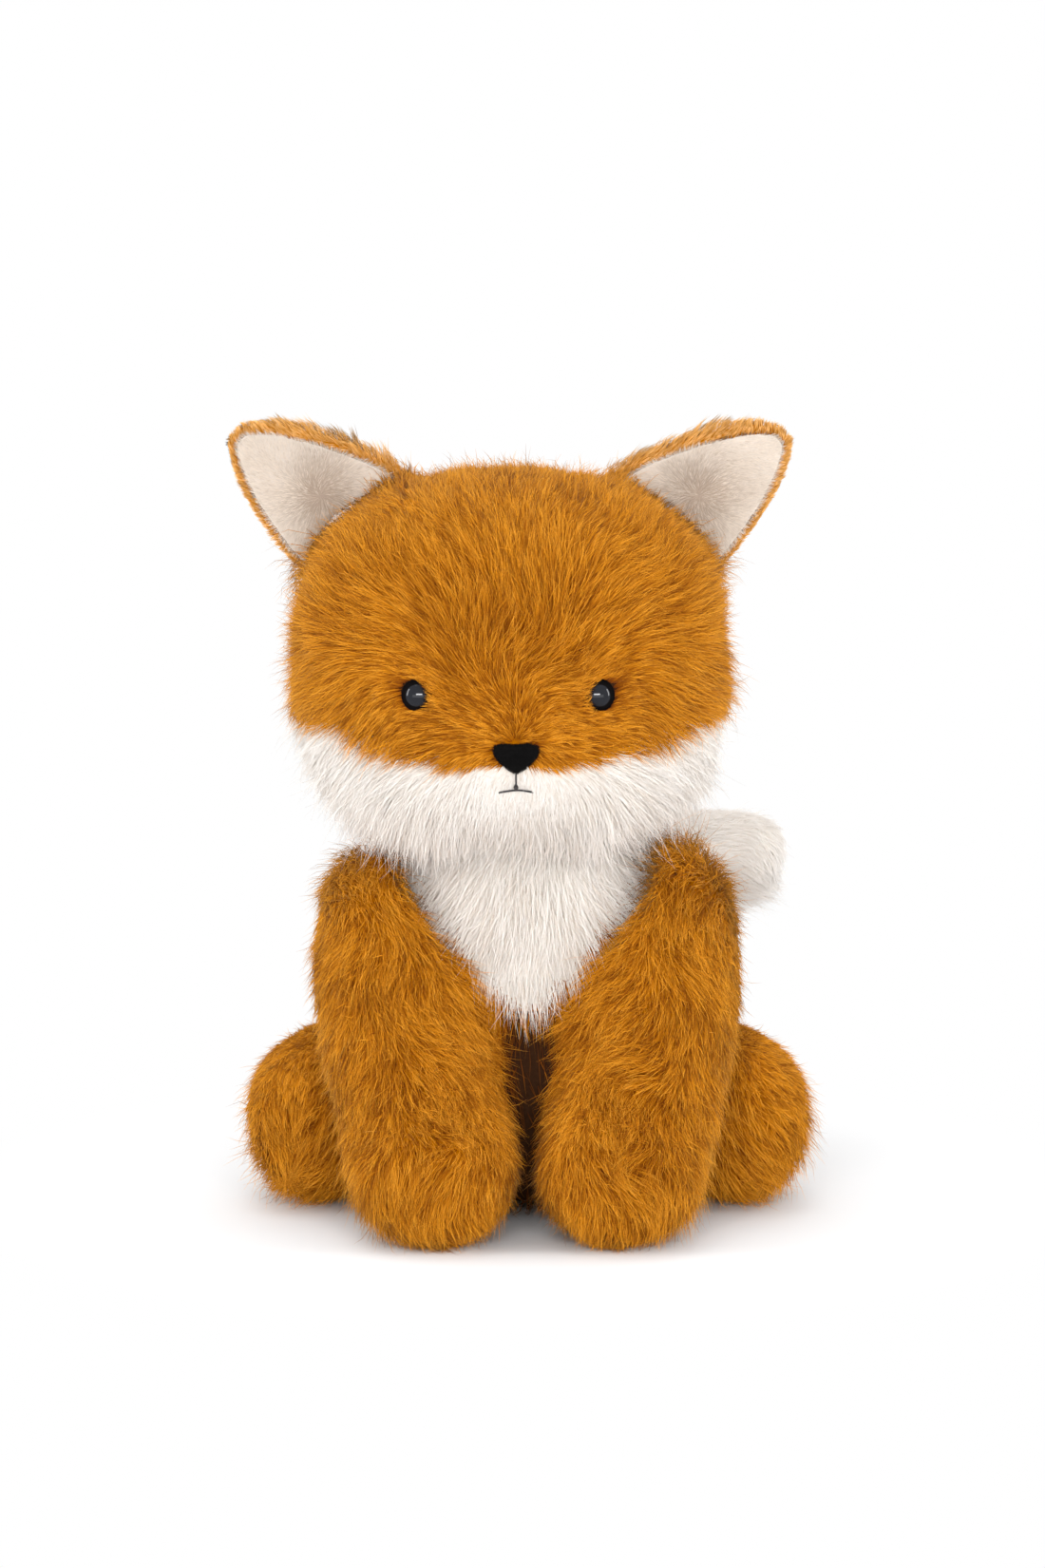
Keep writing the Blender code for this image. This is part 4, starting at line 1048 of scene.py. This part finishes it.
def head_pile(skin):
    neck = distance(skin.places, NECK_POINT)
    openness = smoothstep(neck, *NECK_CLEARING) * smoothstep(skin.room, *HEAD_ROOM)
    groom = Groom(lift=47, tuft=0.26, tuft_size=0.009, stray=0.28, wave=0.30, wave_size=0.015, hang=0.3,
                  seed=10)

    def upright(points):
        cheek = below(points[:, 2], *CHEEK_UPRIGHT) * (points[:, 1] < CHEEK_UPRIGHT_END)
        nose = distance(points, (NOSE_SIDE, NOSE_FRONT, NOSE_HEIGHT), ACROSS)
        eye = to_an_eye(points, ACROSS)
        near = np.maximum(within(nose, *RAISED_AT_NOSE), within(eye, *RAISED_AT_EYE))
        inner = np.abs(points[:, 0] - HEAD_MIDDLE) < EYE_SPACING / 2
        raised = np.where(inner & (eye < RAISED_BESIDE_EYE), 0.5, -0.5)
        return 0.4 * beside_the_ears(points) + 0.75 * cheek + raised * near * (points[:, 1] < 0)

    coat(skin, "head", HEAD_STRANDS, openness, head_flow, head_length, groom, head_is_white, head_trim,
         upright, face_tone_and_painted_light, head_facing)


def head_facing(points):
    """Away from the middle, and more upwards towards the crown, between the ears too."""
    high = smoothstep(points[:, 2], *CROWN_FACING)[:, None]
    return unit(points * FLAT * (1 - high * np.array((0.8, 0, 0))) + high * np.array((0, 0, CROWN_LIFT)))


def face_tone_and_painted_light(points):
    """Deeper up the middle of the face. Paler round the head's edge and beside the ears, which is painted
    light, and darker round the eyes' outer sides, which is painted shade.
    """
    x, y, z = points.T
    across = np.abs(x - HEAD_MIDDLE)
    middle = within(across, *FACE_MIDDLE) * (y < 0) * smoothstep(z, *ABOVE_NOSE)
    bridge = middle * within(z, *BRIDGE_END)
    edge = np.maximum(smoothstep(across, *HEAD_EDGE), smoothstep(z, *CROWN_EDGE))
    eye = to_an_eye(points)
    shade = 0.25 * within(eye, *EYE_SHADE) * (across > EYE_SPACING / 2)
    tint_shift = 0.06 * middle + 0.05 * bridge - 0.11 * edge + shade - 0.18 * beside_the_ears(points)
    return np.where(head_is_white(points), 0, tint_shift)


def body_pile(skin):
    z = skin.places[:, 2]
    low, high = BESIDE_SHOULDER
    beside_shoulder = body_is_white(skin.places) & (z > low) & (z < high)
    openness = np.maximum(smoothstep(skin.room, *FREE_ROOM), np.where(beside_shoulder, 0.5, 0.35))
    openness = openness * (1 - 0.75 * smoothstep(z, *THIN_UNDER_HEAD))
    # Fewer strands under the bib's tip, so that the painted shade of its backing shows
    openness = openness * (1 - 0.95 * below_the_bib(skin.places))
    groom = Groom(stray=0.3, wave=0.3, wave_size=0.022, seed=20)

    def upright(points):
        edge = smoothstep(np.abs(points[:, 0]), *CHEST_EDGE)
        return 0.7 * edge * smoothstep(points[:, 2], *CHEST_UPRIGHT) * (points[:, 1] < 0)

    # Between the front legs the pile is darkened towards a painted shade
    coat(skin, "body", BODY_STRANDS, openness, body_flow, body_length, groom, body_is_white,
         parting=upright, deep=between_the_legs)


def between_the_legs(points):
    """How deep in the gap between the front legs a point is, from 0 to 1."""
    x, y, z = points.T
    inner = within(np.abs(x - GAP_SHIFT), *GAP_HALF_WIDTH)
    return inner * below(z, *GAP_TOP) * smoothstep(y, *GAP_FRONT)


def below_the_bib(points):
    """How far a point on the body's front is under the bib's tip, where shade is painted, from 0 to 1."""
    low = below(points[:, 2], BIB_TIP, BIB_TIP - BIB_FADE)
    return between_the_legs(points) * low * (points[:, 1] < 0)


def leg_groom(wave, seed):
    return Groom(lift=40, tuft=0.28, tuft_size=0.010, stray=0.34, wave=wave, wave_size=0.018, seed=seed)


def front_leg_pile(skin, label, side):
    openness = 0.3 + 0.7 * smoothstep(skin.room, *LEG_ROOM)
    groom = leg_groom(0.5, 30 + side)

    def upright(points):
        outer = smoothstep(side * points[:, 0], *OUTSIDE_FLAT) * (points[:, 2] < FLAT_BELOW)
        inner = below(side * points[:, 0], *INSIDE_FLAT) * below(points[:, 2], *INSIDE_FLAT_LOW)
        top = smoothstep(points[:, 2], *SHOULDER_UPRIGHT)
        return 0.6 * swirl_share(points, side) + SHOULDER_LIFT[side] * top - 0.6 * outer - 0.6 * inner

    # Painted shade in the gap between the legs, and painted light that makes the shoulder's top paler
    def tint_shift(points):
        return between_the_legs(points) - 0.14 * smoothstep(points[:, 2], *PALE_SHOULDER)

    coat(skin, f"front_leg_{label}", FRONT_LEG_STRANDS, openness, lambda p, n: paw_flow(p, n, side),
         leg_length, groom, parting=upright, deep=tint_shift)


def hind_leg_pile(skin, label, side):
    openness = 0.3 + 0.7 * smoothstep(skin.room, *LEG_ROOM)
    groom = leg_groom(0.6, 40 + side)
    coat(skin, f"hind_leg_{label}", HIND_LEG_STRANDS, openness,
         lambda p, n: limb_flow(HIND_LEG_ROOT, HIND_LEG_END, side, n, 0.5), hind_length, groom,
         parting=lambda p: -0.7 * smoothstep(p[:, 2], *HIND_FLAT), deep=lambda p: np.full(len(p), -0.10),
         facing=lambda p: np.tile(np.array(HIND_FACING) * (side, 1, 1), (len(p), 1)))


def lower_lobe(form):
    """Fills out the tail's end on its lower side."""
    places = vertex_places(form.data)
    end = smoothstep(places[:, 0], *LOBE_START)
    low = below(places[:, 2], *LOBE_LOW)
    rounding = 1 - 0.9 * smoothstep(places[:, 0], *LOBE_END)
    places[:, 2] -= end * (LOBE_DROP + LOBE_LOW_DROP * low) * rounding
    move_vertices(form.data, places)


def tail_flow(points, normals):
    outer = smoothstep(points[:, 0], *TAIL_TURN)[:, None]
    end = smoothstep(points[:, 0], *TAIL_END)[:, None]
    heading = np.array((0.1, 0.45, 0.9)) * (1 - outer) + np.array((0.95, -0.1, -0.1)) * outer * (1 - end)
    return along_surface(heading + np.array((0.6, -0.35, -0.35)) * end, normals)


def tail_pile(skin):
    openness = smoothstep(skin.room, *FREE_ROOM)
    groom = Groom(lift=42, clump=0.25, tuft=0.15, wave=0.25, hang=0.35, seed=50)
    # The tail's pile is made paler all over, which is painted light for a tail that sits in the body's shade
    coat(skin, "tail", TAIL_STRANDS, openness, tail_flow, tail_length, groom, tail_is_white,
         deep=lambda p: np.full(len(p), -0.25), facing=lambda p: np.tile((1.2, -1.8, 1.3), (len(p), 1)))


def ear_pieces(label, side):
    """Short orange pile on the back and over the edge, and the cupped minky lining."""
    body = f"ear_{label}"
    back = curved_ear("back", label, side, EAR_VOXEL, rounds=6)
    lining = curved_ear("lining", label, side, LINING_VOXEL, rounds=8)
    skin = Skin(back, [lining], lambda p: np.full(len(p), EAR_PILE), sink=0.5)
    back.data.materials.append(orange_cloth)
    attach(back, body)
    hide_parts(f"ear_back_{label}")
    openness = smoothstep(skin.room, *EAR_ROOM)
    up = np.array((side * math.sin(EAR_LEAN), 0.0, math.cos(EAR_LEAN)))
    groom = Groom(lift=42, clump=0.5, clump_size=0.002, tuft=0.3, tuft_size=0.005, wave=0.5, wave_size=0.01,
                  seed=60 + side)
    points, normals = skin.roots(EAR_STRANDS, openness)
    flow = along_surface(np.tile(up, (len(points), 1)), normals)
    upper = smoothstep(normals @ np.array((-0.35 * side, 0.0, 0.94)), 0.1, 0.7)
    outer = smoothstep(normals @ np.array((0.9 * side, 0.0, -0.4)), 0.3, 0.8)
    height = points @ up
    tip = smoothstep(height, height.max() - EAR_TIP_START, height.max() - EAR_TIP_END)
    lengths = EAR_PILE * (1 + 2.0 * upper * (1 - tip) - 0.5 * outer)
    strands, locks = grown(points, normals, flow, lengths, groom, EAR_LAYER, 1 + 0.4 * upper)
    plant(f"ear_back_pile_{label}", strands, normals, locks, EAR_LAYER.width, ear_colour, body)
    lining_piece(lining, back, label, side)


def curved_ear(part, label, side, voxel, rounds):
    """An ear's back or lining, rounded off: its outer edge swells and its tip drops a little."""
    form = soft_form(f"ear_{part}_cloth_{label}", [f"ear_{part}_{label}"], voxel, rounds)
    low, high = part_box(f"ear_back_{label}")
    inner, outer = (low.x, high.x) if side > 0 else (high.x, low.x)
    places = vertex_places(form.data)
    across = (places[:, 0] - inner) / (outer - inner)
    height = np.clip((places[:, 2] - low.z) / (high.z - low.z), 0, 1)
    beside_edge = np.clip(1 + 2 * (across - 0.35 - 0.65 * height), 0, 1)
    places[:, 0] += side * EAR_SWELL * np.sin(math.pi * height) * beside_edge
    places[:, 2] -= EAR_TIP_DROP * smoothstep(across, 0.70, 1.0)
    move_vertices(form.data, places)
    return form


def lining_piece(made, back, label, side):
    """The ear's lining, rounded off, with its hollow marked for the material."""
    node = f"ear_lining_{label}"
    body = f"ear_{label}"
    mesh = made.data
    low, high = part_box(node)
    middle = np.array((low + high) / 2)
    away = np.linalg.norm((vertex_places(mesh) - middle) / LINING_REACH, axis=1)
    shade = within(away, 0.15, 0.95)
    layer = mesh.uv_layers.new(name="hollow", do_init=False)
    corners = values_of(mesh.loops, "vertex_index", 1, np.int32)[:, 0]
    layer.uv.foreach_set("vector", np.stack((shade, shade), 1)[corners].ravel())
    mesh.materials.append(minky)
    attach(made, body)
    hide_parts(node)
    skin = Skin(made, [back], lambda p: np.zeros(len(p)))
    points, normals = skin.roots(LINING_STRANDS, smoothstep(-skin.normals[:, 1], 0.1, 0.5) + 0.6)
    flow = along_surface(points - middle, normals)
    groom = Groom(lift=30, clump=0.3, clump_size=0.001, tuft=0.1, wave=0.4, wave_size=0.01, seed=80 + side)
    lengths = LINING_PILE * (1 + 0.8 * rng.random(len(points)))
    strands, locks = grown(points, normals, flow, lengths, groom, FUZZ_LAYER)
    depth = np.linalg.norm((points - middle - HOLLOW_SHIFT * np.array((side, 0, 0))) / HOLLOW_REACH, axis=1)
    depth = 0.5 * within(depth + 0.15 * waves(points, HOLLOW_WAVE, 90), 0.1, 1.1) - 0.12
    plant(f"ear_lining_pile_{label}", strands, normals, locks, FUZZ_LAYER.width, lining_colour, body,
          LOCK_LEAN * 0.3, depth)


def face_normal(x, z):
    """The direction that the face looks in at a point seen from the front."""
    _, normal, _, _ = face.ray_cast(Vector((x, BEFORE_FACE, z)), Vector((0, 1, 0)))
    return normal


def eye_piece(label, side):
    """A polished dome that bulges from the pile, with a rounded rim and a post behind it."""
    node = f"eye_{label}"
    low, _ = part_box(node)
    x = HEAD_MIDDLE + side * EYE_SPACING / 2
    normal = (face_normal(x + EYE_SEAT, EYE_HEIGHT) + face_normal(x - EYE_SEAT, EYE_HEIGHT)).normalized()
    normal = (normal * EYE_TURN + Vector((0, -1, 0.1))).normalized()
    top = Vector((x, low.y + EYE_SUNK, EYE_HEIGHT))
    profile = []
    for step in range(EYE_RINGS + 1):
        angle = math.pi * step / EYE_RINGS
        profile.append((EYE_RADIUS * math.sin(angle), EYE_RADIUS * 0.8 * (math.cos(angle) - 1)))
    for width, depth in ((0.25, -1.75), (0.22, -2.6), (0.0, -2.65)):
        profile.append((EYE_RADIUS * width, EYE_RADIUS * depth))
    mesh = turned(node, profile, EYE_SEGMENTS)
    mesh.transform(Matrix.Translation(top) @ normal.to_track_quat("Z", "Y").to_matrix().to_4x4())
    mesh.materials.append(eye_gloss)
    mesh.materials.append(eye_rim)
    for index, polygon in enumerate(mesh.polygons):
        polygon.material_index = int(index >= EYE_SEGMENTS * EYE_DISC_RINGS)
    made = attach(added(f"eye_dome_{label}", mesh), "head")
    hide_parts(node)


def turned(name, profile, segments):
    """A closed form turned about Z from (radius, height) points that start and end on the axis."""
    bm = bmesh.new()
    rings = []
    for radius, height in profile:
        if radius < 1e-6:
            rings.append([bm.verts.new((0, 0, height))])
            continue
        angles = [math.tau * i / segments for i in range(segments)]
        rings.append([bm.verts.new((radius * math.cos(a), radius * math.sin(a), height)) for a in angles])
    for upper, lower in zip(rings, rings[1:]):
        for i in range(segments):
            j = (i + 1) % segments
            corners = [ring[k % len(ring)] for ring, k in ((upper, i), (lower, i), (lower, j), (upper, j))]
            bm.faces.new(list(dict.fromkeys(corners)))
    mesh = mesh_from(bm, name)
    mesh.shade_smooth()
    return mesh


def nose_piece():
    """A flocked, rounded, broad triangle with a slight dip in its top, and a fuzz of flock on it."""
    made = soft_form("nose_pad", ["nose"], NOSE_VOXEL, rounds=6)
    mesh = made.data
    places = vertex_places(mesh)
    pad = smoothstep(-places[:, 1], *NOSE_PAD)
    low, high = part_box("nose")
    share = np.clip((places[:, 2] - low.z) / (high.z - low.z), 0, 1)
    bulge = 1 + pad * (0.38 * np.sin(math.pi * share) ** 0.8 * (1 - share) - 0.09 * share**4)
    places[:, 0] = NOSE_SIDE + (places[:, 0] - NOSE_SIDE) * bulge
    dip = np.exp(-((places[:, 0] - NOSE_SIDE) / NOSE_DIP_WIDTH) ** 2)
    dip = NOSE_DIP * smoothstep(share, 0.6, 1.0) * dip
    places[:, 2] -= pad * (dip + NOSE_DROP + NOSE_TIP_DROP * (1 - share))
    move_vertices(mesh, places)
    mesh.materials.append(flock)
    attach(made, "head")
    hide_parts("nose")
    skin = Skin(made, [frame["nodes"]["nose_washer"]], lambda p: np.zeros(len(p)))
    points, normals = skin.roots(FLOCK_STRANDS, pad)
    flow = along_surface(rng.normal(0, 1, (len(points), 3)), normals)
    groom = Groom(lift=60, bend=0.5, stray=0.35, clump=0.2, clump_size=0.001, tuft=0, wave=0, seed=70)
    strands, locks = grown(points, normals, flow, np.full(len(points), FLOCK_LENGTH), groom, FUZZ_LAYER)
    plant("nose_flock", strands, normals, locks, FUZZ_LAYER.width, flock, "head")


def mouth_piece():
    """Dark thread: one stitch down to a knot and a shallow arc across."""
    made = soft_form("mouth_thread", ["mouth_stitch"], THREAD_VOXEL, rounds=3)
    places = vertex_places(made.data)
    knot = np.array((NOSE_SIDE, places[:, 1].mean(), MOUTH_HEIGHT - KNOT_DROP))
    swell = KNOT_SWELL * within(distance(places, knot, ACROSS), 0, KNOT_SIZE)
    places = places + (places - knot) * swell[:, None]
    across = (places[:, 0] - NOSE_SIDE) / MOUTH_HALF_WIDTH
    places[:, 0] = NOSE_SIDE + (places[:, 0] - NOSE_SIDE) * MOUTH_NARROWING
    places[:, 2] -= MOUTH_DROOP * across**2
    places[:, 1] += MOUTH_TUCK * np.abs(across) ** 3
    move_vertices(made.data, places)
    made.data.materials.append(thread)
    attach(made, "head")
    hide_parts("mouth_stitch")


def neck_piece():
    made = soft_form("neck_wad", ["neck_plug"], NECK_VOXEL, rounds=4)
    made.data.materials.append(wadding)
    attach(made, "neck")
    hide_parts("neck_plug")


# Studio


def floor_material():
    """Pale board for the light and near the fox, where the shadow shows, and white for the camera beyond."""
    nodes = Nodes("studio_floor")
    nodes.surface(Base_Color=(0.86, 0.87, 0.88), Roughness=0.8)
    white = nodes.add("ShaderNodeEmission", {"Color": (1, 1, 1)})
    path = nodes.add("ShaderNodeLightPath")
    place = nodes.add("ShaderNodeTexCoord")["Object"]
    away = nodes.add("ShaderNodeVectorMath", {0: place}, operation="LENGTH")["Value"]
    near, far = SHADOW_REACH
    fade = nodes.add("ShaderNodeMapRange", {"From Min": near, "From Max": far, "Value": away},
                     interpolation_type="SMOOTHSTEP")["Result"]
    seen = nodes.maths("MAXIMUM", path["Is Camera Ray"], path["Is Glossy Ray"])
    board = nodes.tree.nodes["Principled BSDF"].outputs["BSDF"]
    mixed = nodes.add("ShaderNodeMixShader",
                      {0: nodes.maths("MULTIPLY", fade, seen), 1: board, 2: white["Emission"]})
    nodes.feed(nodes.tree.nodes["Material Output"], {"Surface": mixed["Shader"]})
    return nodes.made


def floor():
    bm = bmesh.new()
    bmesh.ops.create_grid(bm, x_segments=8, y_segments=8, size=FLOOR_SIZE / 2)
    mesh = mesh_from(bm, "floor")
    mesh.materials.append(floor_material())
    added("floor", mesh)


def lamps():
    for name, (place, size, power) in LAMPS.items():
        lamp = bpy.data.lights.new(name, "AREA")
        lamp.shape = "RECTANGLE"
        lamp.size, lamp.size_y = size
        lamp.energy = power
        made = added(name, lamp)
        made.location = place
        made.rotation_euler = (LAMP_AIM - Vector(place)).to_track_quat("-Z", "Y").to_euler()


def world():
    """White where it is seen, and a little weaker as light."""
    nodes = Nodes("studio", "worlds")
    bpy.context.scene.world = nodes.made
    path = nodes.add("ShaderNodeLightPath")
    seen = nodes.maths("MAXIMUM", path["Is Camera Ray"], path["Is Glossy Ray"])
    seen = nodes.maths("MAXIMUM", seen, path["Is Transmission Ray"])
    strength = nodes.add("ShaderNodeMapRange", {"To Min": WORLD_LIGHT, "To Max": WORLD_WHITE, "Value": seen})
    nodes.feed(nodes.tree.nodes["Background"], {"Color": (1, 1, 1), "Strength": strength["Result"]})


def camera():
    lens = bpy.data.cameras.new("camera")
    lens.sensor_fit = "VERTICAL"
    lens.sensor_height = SENSOR_HEIGHT
    lens.lens = SENSOR_HEIGHT * CAMERA_DISTANCE / VIEW_HEIGHT
    made = added("camera", lens)
    back = Vector((0, -math.cos(CAMERA_ELEVATION), math.sin(CAMERA_ELEVATION)))
    made.location = VIEW_CENTRE + back * CAMERA_DISTANCE
    made.rotation_euler = (-back).to_track_quat("-Z", "Y").to_euler()
    bpy.context.scene.camera = made


pile_colours = {
    "orange": strand_material(
        "orange_pile", (0.25, 0.058, 0.0004), (0.47, 0.150, 0.0020), (0.69, 0.268, 0.014),
        (0.42, 0.32, 0.2), (1.42, 1.66, 3.5), 0.2, (1.0, 0.68, 0.30),
    ),
    "white": strand_material(
        "white_pile", (0.86, 0.775, 0.685), (0.88, 0.82, 0.755), (0.90, 0.855, 0.815),
        (0.82, 0.76, 0.70), (1.04, 1.045, 1.05), 0.05,
    ),
}
ear_colour = strand_material(
    "ear_pile", (0.50, 0.18, 0.015), (0.68, 0.32, 0.070), (0.86, 0.50, 0.18),
    (0.75, 0.70, 0.62), (1.2, 1.25, 1.5), 0.2, (1.0, 0.75, 0.45),
)
lining_colour = strand_material(
    "minky_pile", (0.62, 0.52, 0.43), (0.71, 0.61, 0.515), (0.77, 0.68, 0.585),
    (0.66, 0.60, 0.55), (1.1, 1.1, 1.1), 0.15,
)
orange_cloth = skin_material("orange_backing", (0.42, 0.135, 0.001))
white_cloth = skin_material("white_backing", (0.92, 0.84, 0.75))
# A dark backing that is painted shade, round the eyes and under the bib's tip
painted_shade_cloth = skin_material("shaded_backing", (0.030, 0.013, 0.006))
minky = minky_material()
eye_gloss = eye_material("polished_eye", 0.03, 0.37, (0.003, 0.004, 0.008))
eye_rim = eye_material("dull_eye_rim", 0.6, 0.0, (0.006, 0.005, 0.005))
flock = flock_material()
thread = thread_material()
wadding = plain_material("wadding", (0.82, 0.82, 0.80), 0.95, 300)
washer_plastic = plain_material("washer_plastic", (0.72, 0.72, 0.72), 0.45, 150)

face = tree_of([frame["nodes"]["head_crown_fur"], frame["nodes"]["head_cheek_fur"]])
ears = tree_of([frame["nodes"][f"ear_{part}_{label}"] for part in ("back", "lining") for label in SIDES])
parts = {
    "head": ["head_crown_fur", "head_cheek_fur", "head_stuffing"],
    "body": ["body_fur", "bib_fur", "base_panel", "body_stuffing", "bean_pouch"],
    "tail": ["tail_base_fur", "tail_tip_fur", "tail_stuffing"],
}
forms = {body: soft_form(body, nodes) for body, nodes in parts.items()}
hug(forms["head"], face, near_features)
for label in SIDES:
    for limb in ("front_leg", "hind_leg"):
        body = f"{limb}_{label}"
        parts[body] = [f"{limb}_fur_{label}", f"{limb}_stuffing_{label}"]
        forms[body] = soft_form(limb, parts[body])
limbs = [body for body in forms if "leg" in body]

head_pile(dress("head", ["body", "ear_back_left", "ear_back_right", "ear_lining_left", "ear_lining_right"],
                head_length, head_is_white))
body_pile(dress("body", ["head", "tail", *limbs], body_length, body_is_white))
lower_lobe(forms["tail"])
tail_pile(dress("tail", ["body"], tail_length, tail_is_white, TAIL_SINK))
for label, side in SIDES.items():
    front = f"front_leg_{label}"
    hind = f"hind_leg_{label}"
    front_leg_pile(dress(front, ["body", "head", hind], leg_length), label, side)
    hind_leg_pile(dress(hind, ["body", front], hind_length), label, side)
    ear_pieces(label, side)
    eye_piece(label, side)
nose_piece()
mouth_piece()
neck_piece()
for node in ("eye_left_washer", "eye_right_washer", "nose_washer"):
    mesh = frame["nodes"][node].data
    mesh.materials.clear()
    mesh.materials.append(washer_plastic)
camera()
floor()
world()
lamps()
bpy.context.scene.view_settings.view_transform = "Standard"
